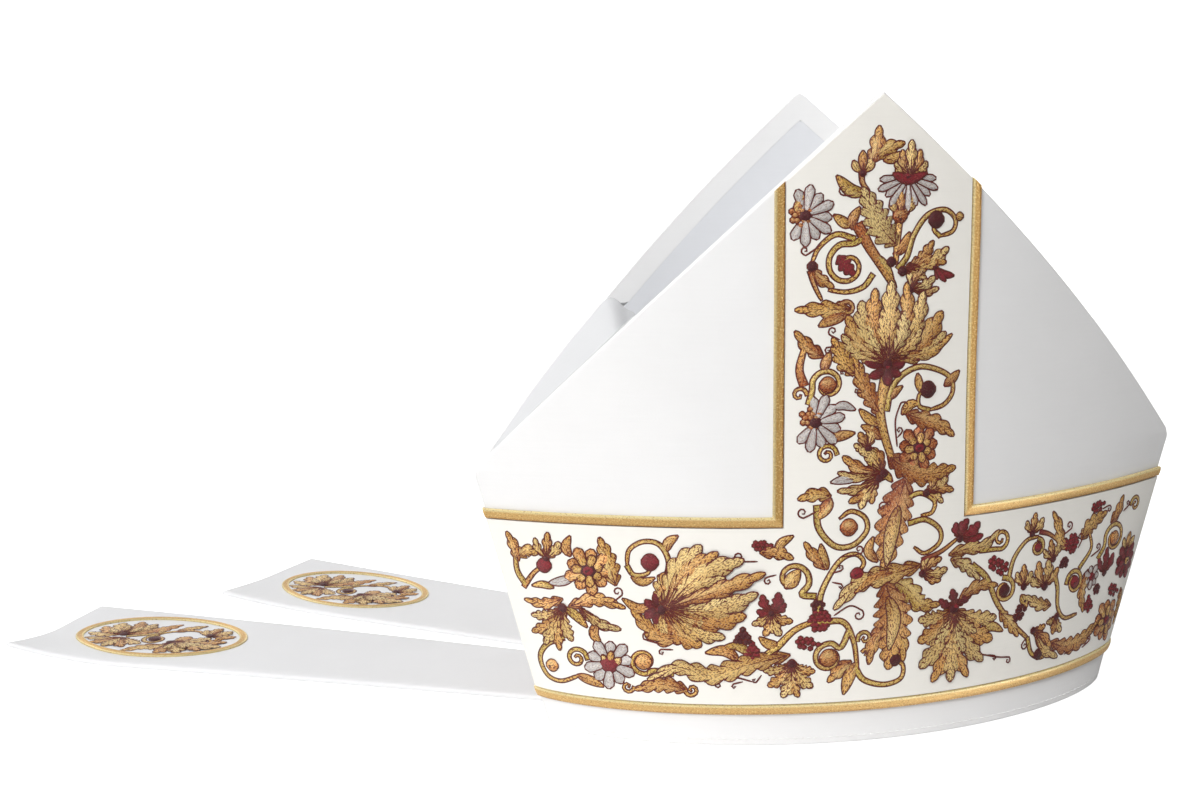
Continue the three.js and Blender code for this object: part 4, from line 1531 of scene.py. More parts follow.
def band_right() -> list[Motif]:
    """The figures of the band to the right, packed closer than the left ones.

    Returns:
        The figures, lowest first.
    """
    gold, bronze, pale, olive = Tone.GOLD, Tone.BRONZE, Tone.PALE, Tone.OLIVE
    crimson, wine, silver = Tone.CRIMSON, Tone.WINE, Tone.SILVER
    return [
        Leaf([(34, 82), (44, 84), (52, 84), (60, 90)], 6, gold, 3, 0.0, pale),
        Scroll((61, 86), 5, 240, 1.3, 1, 1.8, olive, 0, crimson, (50, 82)),
        Leaf([(35, 80), (43, 76), (50, 69)], 6, pale, 3, 0.1, pale),
        Cluster((60, 74), 3.2, 1.1, crimson, 6, -30),
        Stem([(46, 76), (54, 69), (60, 57), (68, 47), (80, 36)], 2.6),
        Scroll((64, 62), 6, 100, 1.1, -1, 2.0, olive, 2.6, wine),
        Palmette(
            (37, 57),
            [(20, 54), (20, 44), (21, 32), (27, 25), (36, 24), (45, 25), (53, 31), (58, 40), (60, 50)],
            9.5,
        ),
        Palmette((37, 56), [(28, 42), (34, 36), (43, 37), (49, 45)], 7, gold, pale, None, level=0.6),
        Palmette((38, 58), [(30, 62), (36, 66), (44, 64)], 4.4, wine, crimson, crimson),
        Leaf([(40, 61), (50, 66), (60, 65)], 6, bronze, 3),
        Tendril([(52, 34), (62, 31), (68, 30)], 1.6, -1),
        Tendril([(56, 33), (60, 32)], 1.2, -1),
        Leaf([(62, 52), (68, 46), (73, 39)], 6, gold, 3),
        Leaf([(52, 45), (58, 46), (64, 43)], 4, olive),
        Cluster((74, 51), 2.8, 1.0, wine, 4, 60),
        Palmette((75, 62), [(71, 69), (75, 72), (80, 68)], 4.6),
        Stem([(66, 66), (69, 76), (76, 83), (83, 84)], 2.0),
        Scroll((83, 79), 4, 90, 1.1, -1, 1.8, olive, 1.8, crimson),
        Palmette((79, 86), [(76, 92), (81, 95), (86, 92)], 4.2),
        Stem([(84, 86), (90, 84), (96, 80)], 1.8, crimson),
        Leaf([(104, 75), (98, 80), (96, 87), (92, 94)], 6, gold, 3),
        Palmette((93, 72), [(87, 77), (91, 81), (97, 79)], 4.2),
        Cluster((105, 77), 4.2, 1.2),
        Cluster((101, 69), 2.8, 1.0, wine),
        Tendril([(99, 82), (104, 84)], 2.2),
        Palmette((88, 60), [(79, 66), (84, 72), (90, 72), (97, 67)], 5.6),
        Leaf([(93, 50), (85, 52), (77, 57)], 6, gold, 3, 0.0, pale),
        Leaf([(74, 58), (76, 55), (78, 52)], 4, olive),
        Stem([(94, 66), (97, 58), (98, 48), (103, 42), (112, 42)], 2.2),
        Scroll((109, 58), 6, 180, 1.3, -1, 2.0, olive, 2.8, crimson),
        Palmette((97, 44), [(91, 42), (95, 36), (101, 36)], 4.4),
        Stem([(79, 37), (82, 29), (89, 26), (95, 30)], 2.0),
        Berry((86, 28), 2.4, wine),
        Palmette((82, 40), [(87, 34), (94, 30), (99, 24), (90, 41)], 4.6),
        Tendril([(79, 38), (76, 35)], 2.0),
        Leaf([(94, 32), (104, 28), (116, 28), (131, 34)], 8, bronze, 6),
        Tendril([(104, 24), (110, 25)], 1.5),
        Tendril([(118, 24), (124, 26)], 1.5),
        Leaf([(112, 78), (119, 84), (130, 88)], 8, gold, 4),
        Cluster((123, 92), 2.0, 0.9, crimson, 7, 10),
        Tendril([(126, 90), (131, 91)], 1.8, -1),
        Leaf([(134, 82), (139, 87), (142, 94)], 6, bronze, 2),
        Scroll((138, 74), 8, 200, 1.2, -1, 2.2, olive, 3.2, bronze, (126, 66)),
        Tendril([(110, 74), (113, 78)], 2.0),
        Tendril([(120, 68), (126, 70)], 2.0),
        Scroll((153, 88), 4, 180, 1.3, -1, 1.6),
        Tendril([(143, 86), (147, 88)], 1.6),
        Palmette((132, 58), [(127, 66), (133, 70), (139, 66)], 4.8, crimson, crimson, wine),
        Peony((151, 60), 9.5, crimson, crimson, gold, 10),
        Palmette((150, 66), [(147, 72), (152, 74), (157, 71)], 4),
        Cluster((121, 45), 3.4, 1.1),
        Cluster((127, 51), 2.6, 1.0, wine),
        Cluster((143, 47), 2.6, 1.0, crimson, 5, -20),
        Peony((138, 33), 11, bronze, gold, crimson, 5),
        Leaf([(119, 62), (115, 52), (117, 42)], 6, bronze, 4),
        Leaf([(151, 46), (152, 38), (149, 28)], 6, gold, 3),
        Daisy((122, 58), 6, 7, silver, crimson, 0),
        Stem([(112, 64), (120, 72), (118, 80)], 2.0),
    ]


def lappet_spray() -> list[Motif]:
    """The spray inside a lappet's oval, with the lappet's free end to the left.

    Returns:
        The figures, lowest first.
    """
    gold, bronze, pale, olive = Tone.GOLD, Tone.BRONZE, Tone.PALE, Tone.OLIVE
    wine = Tone.WINE
    return [
        Palmette((-21, -2), [(-41, -3), (-38, 7), (-31, 14), (-22, 18), (-13, 17), (-8, 9)], 9),
        Palmette((-19, -6), [(-38, -11), (-31, -18), (-21, -22), (-11, -20), (-5, -13)], 8, heart=None),
        Palmette((-22, -1), [(-32, 4), (-25, 10), (-17, 10)], 6, gold, pale, None, level=0.5),
        Leaf([(-14, 4), (-6, 10), (1, 20)], 8, bronze, 4),
        Stem([(-18, -4), (-6, 2), (5, 10), (15, 12), (22, 7)], 2.8),
        Scroll((-1, -5), 6.5, 100, 1.2, 1, 2.4, olive, 3.0, wine),
        Leaf([(4, 8), (9, 15), (15, 21)], 6.5, gold, 3, 0.1, pale),
        Palmette((25, 6), [(18, 15), (25, 19), (32, 16), (38, 9)], 7),
        Palmette(
            (10, -8), [(1, -19), (10, -24), (21, -22), (31, -17), (39, -9), (38, -1), (27, 3), (15, 3)], 9.5
        ),
        Palmette((12, -8), [(12, -18), (22, -16), (30, -9), (27, -2)], 7, gold, pale, None, level=0.6),
        Cluster((33, 3), 2.6, 1.2, gold, 6, 40),
        Leaf([(4, -12), (-2, -18), (-9, -25)], 7, gold, 3),
        Leaf([(-3, 1), (-4, 7), (-8, 12)], 5, olive, 2),
    ]


# ---------------------------------------------------------------- panels
def prefix_of(side: int) -> str:
    """The name that a side's pieces start with."""
    return "front" if side == FRONT else "back"


@dataclass
class PanelShell:
    """The stiffened face cloth of one panel, rounded over at every edge."""

    face: PanelFace
    wall: float = 2.6
    rounding: float = 1.25
    corner_cut: float = 2.2

    def border(self, u: Array, z: Array) -> Array:
        """Distance from a point to the nearest edge of the panel.

        Args:
            u: Distance across the cloth.
            z: Height.

        Returns:
            The distance.
        """
        form = self.face.form
        lean = np.where(z > form.corner.z, form.edge_lean(z), 0)
        aside = (form.half_cloth(z) - np.abs(u)) / np.hypot(1, lean)
        return np.minimum(aside, z)

    def reach(self, z: Array) -> Array:
        """Half the cloth's width, with the side corners cut off a little.

        Args:
            z: Height.

        Returns:
            The half width.
        """
        form = self.face.form
        near = np.clip(1 - np.abs(z - form.corner.z) / (self.corner_cut * 1.6), 0, 1)
        return form.half_cloth(z) - self.corner_cut * near**1.5

    def build(self) -> Piece:
        """Lays out the panel's grid and closes it.

        Returns:
            The piece.
        """
        form = self.face.form
        near_rim = np.array([0, 0.25, 0.6, 1.0, 1.5, 3.0])
        low = np.linspace(3, form.corner.z - 4, 34)[1:]
        turn = form.corner.z + np.array([-3, -2, -1.2, -0.5, 0, 0.5, 1.2, 2, 3])
        high = np.linspace(form.corner.z + 4, form.apex_z - 4, 52)
        tip = form.apex_z - np.array([3, 2, 1.3, 0.8, 0.5])
        z = np.concatenate([near_rim, low, turn, high, tip])[:, None]
        part = endwise(104)[None, :]
        patch = Patch([grid_of(part * self.reach(z), z)])
        name = f"{prefix_of(self.face.side)}_cloth"
        cut = ClothCut(name, self.face, patch, -self.wall, 0.0, self.rounding, self.border)
        return cut.build()


@dataclass
class PanelLining:
    """The smooth lining inside one panel."""

    face: PanelFace
    outer: float = -2.9
    inner: float = -4.1
    hem_z: float = 5.0
    border: float = 10.05
    seam_clear: float = 1.3

    def half(self, z: float) -> float:
        """Half the lining's width along the cloth at a height.

        Args:
            z: Height.

        Returns:
            The half width.
        """
        form = self.face.form
        u = np.linspace(0, float(form.half_cloth(z)), 500)
        x = form.x_along(u, np.full_like(u, z))
        deep = form.face_depth(x, np.full_like(u, z)) + self.inner > self.seam_clear
        reach = float(u[deep].max()) if deep.any() else 0.0
        if z > form.corner.z:
            reach = min(reach, float(form.inside_edge(np.array([z]), self.border)[0]))
        return max(reach, 0.0)

    def build(self) -> Piece:
        """Lays the lining from its hem to its point.

        Returns:
            The piece.
        """
        form = self.face.form
        top = form.height_where(self.border, 0.8)
        heights = np.concatenate([
            np.linspace(self.hem_z, form.corner.z, 26),
            np.linspace(form.corner.z, top, 44)[1:],
        ])
        halves = np.array([self.half(float(z)) for z in heights])[:, None]
        patch = Patch([grid_of(endwise(64)[None, :] * halves, heights[:, None])])
        name = f"{prefix_of(self.face.side)}_inner_lining"
        return ClothCut(name, self.face, patch, self.inner, self.outer).build()


@dataclass
class PanelFacing:
    """The face cloth turned in along both free edges of a horn."""

    face: PanelFace
    outer: float = -2.9
    inner: float = -4.2
    width: float = 10.0
    low_x: float = 104.0

    def build(self) -> Piece:
        """Lays a narrow band along each free edge, meeting at the apex.

        Returns:
            The piece.
        """
        form = self.face.form
        z = np.linspace(form.corner.z, form.apex_z, 1600)
        start = float(np.interp(-self.low_x, -form.half_width(z), z))
        inner_top = form.height_where(self.width, 0.3)
        outside = np.linspace(start, form.apex_z - 0.7, 60)
        inside = np.linspace(start, inner_top, 60)
        outer_u = form.half_cloth(outside)
        inner_u = np.maximum(form.inside_edge(inside, self.width), 0.0)
        outside[-1], outer_u[-1], inner_u[-1] = form.apex_z - 0.8, 0.0, 0.0
        part = endwise(7, 0.0, 1.0)[None, :]
        right = grid_of(
            mix(inner_u[:, None], outer_u[:, None], part),
            mix(inside[:, None], outside[:, None], part),
        )
        left = right[:, ::-1] * MIRROR
        name = f"{prefix_of(self.face.side)}_turned_edge"
        return ClothCut(name, self.face, Patch([left, right]), self.inner, self.outer).build()


@dataclass
class OrphreyGround:
    """The T-shaped ground: a band round the head and an upright strip to the apex."""

    face: PanelFace
    half: float = 40.95
    low: float = 19.55
    high: float = 98.35
    inner: float = 0.3
    outer: float = 1.1

    def build(self) -> Piece:
        """Lays the band and the strip as one piece of cloth.

        Returns:
            The piece.
        """
        form = self.face.form
        band = np.linspace(self.low, self.high, 25)
        middle = np.linspace(-1, 1, 27)
        outward = np.sin(np.linspace(0, math.pi / 2, 40))[None, :]
        seam = form.half_cloth(band)[:, None] - 0.3
        right = grid_of(mix(self.half, seam, outward), band[:, None])
        left = right[:, ::-1] * MIRROR
        shoulder = form.height_where(0.9, self.half)
        upright = np.concatenate([
            band,
            np.linspace(self.high, shoulder, 40)[1:],
            np.linspace(shoulder, form.apex_z - 1.4, 20)[1:],
        ])
        reach = np.minimum(self.half, form.inside_edge(upright, 0.9))
        reach = np.where(upright <= shoulder, self.half, np.maximum(reach, 0.3))[:, None]
        strip = grid_of(middle[None, :] * reach, upright[:, None])
        name = f"{prefix_of(self.face.side)}_orphrey_ground"
        cut = ClothCut(name, self.face, Patch([left, strip, right]), self.inner, self.outer)
        return cut.build()


class Shine(Enum):
    """Which edges of a braid are painted with a pale highlight; on a one-sided braid the other edge is
    painted darker as shade.
    """

    FIRST = 1
    LAST = -1
    BOTH = 2

    def tones(self, rows: int) -> Array:
        """The colour of each row across the braid: a painted highlight, gold, and painted shade at the other
        edge.

        Args:
            rows: How many rows there are.

        Returns:
            A linear colour for each row.
        """
        across = np.linspace(0, 1, rows)
        if self is Shine.LAST:
            across = across[::-1]
        if self is Shine.BOTH:
            across = 0.6 * (1 - np.abs(2 * across - 1))
        # A painted highlight at the first edge, painted shade at the last.
        places = [0, 0.16, 0.3, 0.72, 0.9, 1]
        pale, gold, painted_shade_ochre = ((1.0, 0.93, 0.7), (0.88, 0.7, 0.4), (0.7, 0.47, 0.2))
        marks = np.array([linear(c) for c in (pale, pale, gold, gold, painted_shade_ochre, painted_shade_ochre)])
        return np.stack([np.interp(across, places, marks[:, k]) for k in range(4)], axis=-1)


PAINTED_LIGHT_GOLD = np.array(linear((0.95, 0.88, 0.72)))
# A braid painted lighter than gold, as painted light, also goes this much towards pale gold.
PALER_WITH_PAINTED_LIGHT = 0.8


@dataclass
class Braid:
    """A gold braid with a rounded back, given by grids that each have a shine and a gain of painted light or
    shade.
    """

    name: str
    surface: Surface
    grids: list[Array]
    ridge: Array
    shines: list[Shine]
    gains: list[float]
    base: float = 0.3

    def build(self) -> Piece:
        """Lays the braid with its underside flat and its back rounded.

        Returns:
            The piece.
        """
        flat, cells = Patch(self.grids).cells()
        every = np.vstack([grid.reshape(-1, 2) for grid in self.grids])
        heights, tones = [], []
        for grid, shine, gain in zip(self.grids, self.shines, self.gains):
            rows = grid.shape[1]
            heights.append(np.tile(self.ridge, grid.shape[0]))
            # Painted light or shade: the row colours are scaled by the gain, and lightened ones go towards
            # pale gold.
            lit = mix(shine.tones(rows) * gain, PAINTED_LIGHT_GOLD, max(gain - 1, 0) * PALER_WITH_PAINTED_LIGHT)
            tones.append(np.tile(lit, (grid.shape[0], 1)))
        _, first = np.unique(np.round(every, 3), axis=0, return_index=True)
        out = self.base + np.concatenate(heights)[first]
        top = self.surface.place(flat[:, 0], flat[:, 1], out)
        bottom = self.surface.place(flat[:, 0], flat[:, 1], np.full(len(flat), self.base))
        return closed_skins(self.name, top, bottom, flat, cells, np.vstack(tones)[first])


@dataclass
class PanelBraids:
    """The three braids of one panel: two L-shaped ones and the one above the rim."""

    face: PanelFace
    width: float = 4.5
    proud: float = 1.6
    lower_z: float = 17.0
    upper_z: float = 100.9
    upright_u: float = 43.5
    front_end: float = 0.4
    back_end: float = 3.4
    # Painted light: level braids and the rim braid are painted lighter, as if lit from above, and upright
    # ones darker as painted shade.
    level_painted_light: float = 1.22
    upright_painted_shade: float = 0.82
    rim_painted_light: float = 1.3
    rows: int = 13

    def ridge(self) -> Array:
        """How far the braid's back stands up, across its width, with a cord at each edge.

        Returns:
            A height for each row.
        """
        across = np.abs(np.linspace(-1, 1, self.rows))
        cord = 0.3 * np.clip(1 - np.abs(across - 0.8) / 0.14, 0, 1)
        return 0.2 + (self.proud - 0.2) * np.sqrt(1 - across**2.6 * 0.98) * 0.85 + cord

    def build(self) -> list[Piece]:
        """Lays the L-shaped braids, mitred at their bend, and the lower one.

        Returns:
            The right, left and lower braids.
        """
        form = self.face.form
        prefix = prefix_of(self.face.side)
        across = np.linspace(-1, 1, self.rows) * self.width / 2
        outward = np.sin(np.linspace(0, math.pi / 2, 70))[None, :]
        z = self.upper_z + across[:, None]
        near = self.upright_u + across[:, None]
        along = grid_of(mix(near, form.half_cloth(z) - 0.2, outward), z).transpose(1, 0, 2)
        short = self.front_end if self.face.side == FRONT else self.back_end
        tops = np.array([form.height_where(short, float(u)) for u in near[:, 0]])[:, None]
        upright = grid_of(near, mix(z, tops, np.linspace(0, 1, 70)[None, :])).transpose(1, 0, 2)
        right = [along[:, ::-1], upright]
        left = [along * MIRROR, upright[:, ::-1] * MIRROR]
        level = self.lower_z + across[:, None]
        round_head = grid_of(endwise(150)[None, :] * (form.half_cloth(level) - 0.2), level)
        rim = [round_head.transpose(1, 0, 2)[:, ::-1]]
        gains = [self.level_painted_light, self.upright_painted_shade]
        lays = (
            ("right", right, [Shine.FIRST, Shine.FIRST], gains),
            ("left", left, [Shine.LAST, Shine.FIRST], gains),
            ("rim", rim, [Shine.FIRST], [self.rim_painted_light]),
        )
        return [
            Braid(f"{prefix}_gold_braid_{word}", self.face, grids, self.ridge(), shines, gains).build()
            for word, grids, shines, gains in lays
        ]


@dataclass
class RimStitches:
    """The line of small stitches that holds the rim's turned edge."""

    face: PanelFace
    height: float = 3.2
    length: float = 2.3
    pitch: float = 3.1
    thickness: float = 0.5

    def build(self) -> Piece:
        """Lays every stitch as a small raised grain.

        Returns:
            The piece.
        """
        reach = float(self.face.form.half_cloth(self.height)) - 3
        starts = np.arange(-reach, reach - self.length, self.pitch)
        t = np.linspace(0, 1, 5)
        across = np.linspace(-1, 1, 5)
        swell = np.sqrt(np.maximum(1 - (2 * t - 1) ** 4, 0.06))
        u = starts[:, None, None] + self.length * t[None, :, None] + 0 * across
        z = self.height + across * self.thickness / 2 * swell[:, None] + 0 * u
        out = 0.34 * swell[:, None] * (1 - across**2) - 0.02 + 0 * u
        points = self.face.place(u.ravel(), z.ravel(), out.ravel())
        number = np.arange(u.size).reshape(u.shape)
        corners = (number[:, :-1, :-1], number[:, 1:, :-1], number[:, 1:, 1:], number[:, :-1, 1:])
        faces = np.stack(corners, axis=-1).reshape(-1, 4).tolist()
        flat = np.stack([u.ravel(), z.ravel()], axis=-1)
        return make_object(f"{prefix_of(self.face.side)}_rim_stitches", points, faces, flat)


@dataclass
class CrownWeb:
    """The soft web that closes the crown between the horns: stations of x, height and sag."""

    form: MitreForm
    span: float = 157.5
    wall: float = 1.2
    inset: float = -4.4
    edge_inset: float = -2.75
    columns: int = 160
    rows: int = 36
    stations: tuple[Triple, ...] = (
        (0, 132, 12),
        (40, 137, 14),
        (60, 145, 19),
        (74, 158, 23),
        (88, 183, 23),
        (104, 186, 19),
        (126, 165, 13),
        (146, 143, 5),
        (158, 131, 0),
    )

    def edge_level(self, x: Array) -> Array:
        """The height of the horns' free edges at a distance from the middle."""
        z = np.linspace(self.form.corner.z, self.form.apex_z, 400)
        return np.interp(-np.abs(x), -self.form.half_width(z), z)

    def column(self, which: int, x: Array) -> Array:
        """Reads one column of the stations smoothly at a distance from the middle.

        Args:
            which: The column's number.
            x: Distance from the middle.

        Returns:
            The column's value.
        """
        rows = np.array(self.stations)
        place = np.interp(np.abs(x), rows[:, 0], np.arange(len(rows)))
        i = np.minimum(place.astype(int), len(rows) - 2)
        t = place - i
        return mix(rows[i, which], rows[i + 1, which], t * t * (3 - 2 * t))

    def build(self) -> Piece:
        """Hangs the web between the linings, with a few soft folds.

        Returns:
            The piece.
        """
        x = np.linspace(-self.span, self.span, self.columns)[:, None]
        v = np.linspace(-1, 1, self.rows)[None, :]
        below = self.edge_level(x) - mix(0.7, 1.6, np.clip((np.abs(x) - 140) / 14, 0, 1))
        near = np.clip((np.abs(x) - 88) / 16, 0, 1)
        level = mix(self.column(1, x), below, near * near * (3 - 2 * near)) + 0 * v
        slope = self.form.face_slope(x + 0 * v, level)
        inset = mix(self.inset, self.edge_inset, np.clip((np.abs(x) - 106) / 14, 0, 1))
        reach = self.form.face_depth(x + 0 * v, level) + inset * np.hypot(1, slope)
        sag = self.column(2, x) * (1 - np.abs(v) ** 1.25)
        fold = 0.35 * np.sin(x / 8.5 + 2 * v) * (1 - v**2) * np.clip((150 - np.abs(x)) / 20, 0, 1)
        y = self.form.mid_y(level) + v * np.maximum(reach, 0.4)
        z = level - sag - fold
        top = np.stack(np.broadcast_arrays(x, y, z), axis=-1).reshape(-1, 3)
        bottom = top - np.array([0, 0, self.wall])
        cells = quads(np.arange(len(top)).reshape(self.columns, self.rows), True)
        return closed_skins("crown_web", top * MM, bottom * MM, top[:, :2], cells)


# ---------------------------------------------------------------- lappets
@dataclass
class LappetFace:
    """The upper face of a lappet: u runs from its oval's middle, v across it."""

    form: MitreForm
    name: str
    head: Pair
    end: Pair
    bow: float
    curl: float
    head_width: float = 54.0
    end_width: float = 84.0
    thickness: float = 3.2
    curl_start: float = 0.8
    oval_from_end: float = 63.0

    @property
    def length(self) -> float:
        """The length of the lappet's middle line on the table."""
        return math.hypot(self.end[0] - self.head[0], self.end[1] - self.head[1])

    def spot(self, s: Array, q: Array) -> tuple[Array, Array]:
        """The x and y of a place s along and q across, from -1 to 1.

        Args:
            s: Part of the length.
            q: Place across, from -1 to 1.

        Returns:
            The x and the y.
        """
        way_x, way_y = self.end[0] - self.head[0], self.end[1] - self.head[1]
        normal = (-way_y / self.length, way_x / self.length)
        width = mix(self.head_width, self.end_width, s)
        aside = q * width / 2 + self.bow * 4 * s * (1 - s)
        x = self.head[0] + way_x * s + normal[0] * aside
        y = self.head[1] + way_y * s + normal[1] * aside
        return x, y

    def lift(self, s: Array, q: Array) -> Array:
        """How far the lappet is off the table: its front free corner curls up."""
        along = np.clip((s - self.curl_start) / (1 - self.curl_start), 0, 1)
        return self.curl * along**2 * np.maximum(q, 0) ** 1.5

    def billow(self, s: Array, q: Array) -> Array:
        """The padded cloth's slight rise between its edges."""
        middle = np.clip(1 - np.abs(q) ** 3, 0, 1)
        return middle * (0.35 + 0.25 * np.sin(9 * s + 2 * q) * np.clip(4 * (1 - s), 0, 1))

    def place(self, u: Array, v: Array, out: Array) -> Array:
        """Gives points in metres on or above the upper face.

        Args:
            u: Distance along from the oval's middle.
            v: Distance across.
            out: Distance outward.

        Returns:
            A row of x, y and z for each point.
        """
        s = 1 - (self.oval_from_end + u) / self.length
        width = mix(self.head_width, self.end_width, s)
        q = -v / (width / 2)
        x, y = self.spot(s, q)
        z = self.thickness + self.billow(s, q) + self.lift(s, q) + out
        return np.stack([x, y, z], axis=-1) * MM


@dataclass
class Lappet:
    """One padded strip on the table whose head turns up against the back panel."""

    face: LappetFace
    tab_thickness: float = 2.0
    tab_height: float = 12.5
    tab_clearance: float = 0.55
    rounding: float = 2.4

    def back_y(self, x: Array, z: Array, out: Array) -> Array:
        """The back panel's y at a distance out from its face.

        Args:
            x: Distance from the middle.
            z: Height.
            out: Distance outward.

        Returns:
            The y.
        """
        form = self.face.form
        slope = form.face_slope(x, z)
        return form.mid_y(z) + form.face_depth(x, z) + out * np.hypot(1, slope)

    def start(self, q: Array, out: float) -> Array:
        """How far along each line of the lappet comes out of the back panel.

        Args:
            q: Place across, from -1 to 1.
            out: Distance outward.

        Returns:
            Part of the length, for each q.
        """
        inside, outside = np.zeros_like(q), np.full_like(q, 0.5)
        for _ in range(40):
            middle = (inside + outside) / 2
            x, y = self.face.spot(middle, q)
            beyond = y > self.back_y(x, np.zeros_like(x), out)
            outside = np.where(beyond, middle, outside)
            inside = np.where(beyond, inside, middle)
        return outside

    def build(self) -> Piece:
        """Lays the strip's two skins and closes them along the edges.

        Returns:
            The piece.
        """
        face = self.face
        q = endwise(34)
        r = np.concatenate([np.linspace(0, 0.94, 78), endwise(14, 0.94, 1.0)[1:]])
        over = self.tab_clearance + self.tab_thickness
        under_s = mix(self.start(q, self.tab_clearance)[None, :], 1.0, r[:, None])
        over_s = mix(self.start(q, over)[None, :], 1.0, r[:, None])
        across = q[None, :] + 0 * r[:, None]
        half = mix(face.head_width, face.end_width, over_s) / 2
        near = np.minimum((1 - np.abs(across)) * half, (1 - over_s) * face.length)
        near = np.clip(self.rounding - near, 0, self.rounding) / self.rounding
        drop = 1 - np.sqrt(np.maximum(1 - near**2, 0))
        x, y = face.spot(over_s, across)
        lift = face.lift(over_s, across)
        z = face.thickness * (1 - 0.42 * drop) + lift + face.billow(over_s, across) * (1 - near)
        y[0] = self.back_y(x[0], z[0], over)
        upper = np.stack([x, y, z], axis=-1)
        low_x, low_y = face.spot(under_s, across)
        low_z = face.lift(under_s, across) + face.thickness * 0.3 * drop
        lower = np.stack([low_x, low_y, low_z], axis=-1)
        top, bottom = [], []
        for height in np.linspace(self.tab_height, face.thickness + 1.2, 6):
            level = np.full_like(q, height)
            top.append(np.stack([x[0], self.back_y(x[0], level, over), level], axis=-1))
            inner_y = self.back_y(low_x[0], level, self.tab_clearance)
            bottom.append(np.stack([low_x[0], inner_y, level], axis=-1))
        top = np.concatenate([np.array(top), upper])
        bottom = np.concatenate([np.array(bottom), lower])
        rows = len(top)
        distance = np.concatenate([np.linspace(-9, -1, rows - len(r)), r * face.length])
        flat = grid_of(distance[:, None], q[None, :] * 35).reshape(-1, 2)
        cells = quads(np.arange(rows * len(q)).reshape(rows, len(q)), True)
        name = f"{face.name}_cloth"
        return closed_skins(name, top.reshape(-1, 3) * MM, bottom.reshape(-1, 3) * MM, flat, cells)


@dataclass
class OvalBraid:
    """The oval of gold braid near a lappet's free end."""

    face: LappetFace
    half_length: float = 47.0
    half_width: float = 30.5
    width: float = 4.0
    proud: float = 0.9
    count: int = 144
    rows: int = 9

    def build(self) -> Piece:
        """Lays the ridge right round the oval.

        Returns:
            The piece.
        """
        angle = np.linspace(0, 2 * math.pi, self.count + 1)[:-1][:, None]
        across = np.linspace(0, 1, self.rows)[None, :]
        along = (self.half_length - self.width * across) * np.cos(angle)
        aside = (self.half_width - self.width * across) * np.sin(angle)
        swell = 0.3 + (self.proud - 0.3) * np.sqrt(1 - np.abs(2 * across - 1) ** 2.4 * 0.96)
        top = self.face.place(along, aside, 0.15 + swell + 0 * along)
        bottom = self.face.place(along, aside, 0.1 + 0 * along)
        number = np.arange(self.count * self.rows).reshape(self.count, self.rows)
        after = np.roll(number, -1, axis=0)
        corners = (number[:, :-1], number[:, 1:], after[:, 1:], after[:, :-1])
        cells = np.stack(corners, axis=-1)[..., ::-1].reshape(-1, 4)
        round_it = angle * (self.half_length + self.half_width) / 2 + 0 * across
        flat = grid_of(round_it, across * self.width + 0 * angle).reshape(-1, 2)
        name = f"{self.face.name}_oval_braid"
        # Painted highlights along both edges of the ring's braid.
        tones = np.tile(Shine.BOTH.tones(self.rows), (self.count, 1))
        return closed_skins(name, top.reshape(-1, 3), bottom.reshape(-1, 3), flat, cells, tones)


# ---------------------------------------------------------------- floor, light, camera
@dataclass(frozen=True)
class Lamp:
    """A square lamp that faces the mitre."""

    name: str
    place: Triple
    size: float
    power: float

    def hang(self) -> None:
        """Makes the lamp and turns it to the mitre."""
        light = bpy.data.lights.new(self.name, "AREA")
        light.size = self.size
        light.energy = self.power
        lamp = bpy.data.objects.new(self.name, light)
        lamp.location = self.place
        way = Vector((-0.05, 0.05, 0.1)) - Vector(self.place)
        lamp.rotation_euler = way.to_track_quat("-Z", "Y").to_euler()
        bpy.context.scene.collection.objects.link(lamp)


LAMPS = (
    Lamp("key", (-1.45, -1.85, 1.8), 1.2, 61.0),
    Lamp("top", (-0.5, -0.5, 2.4), 1.6, 16.0),
    Lamp("side", (1.0, -0.75, 1.75), 0.9, 4.8),
)


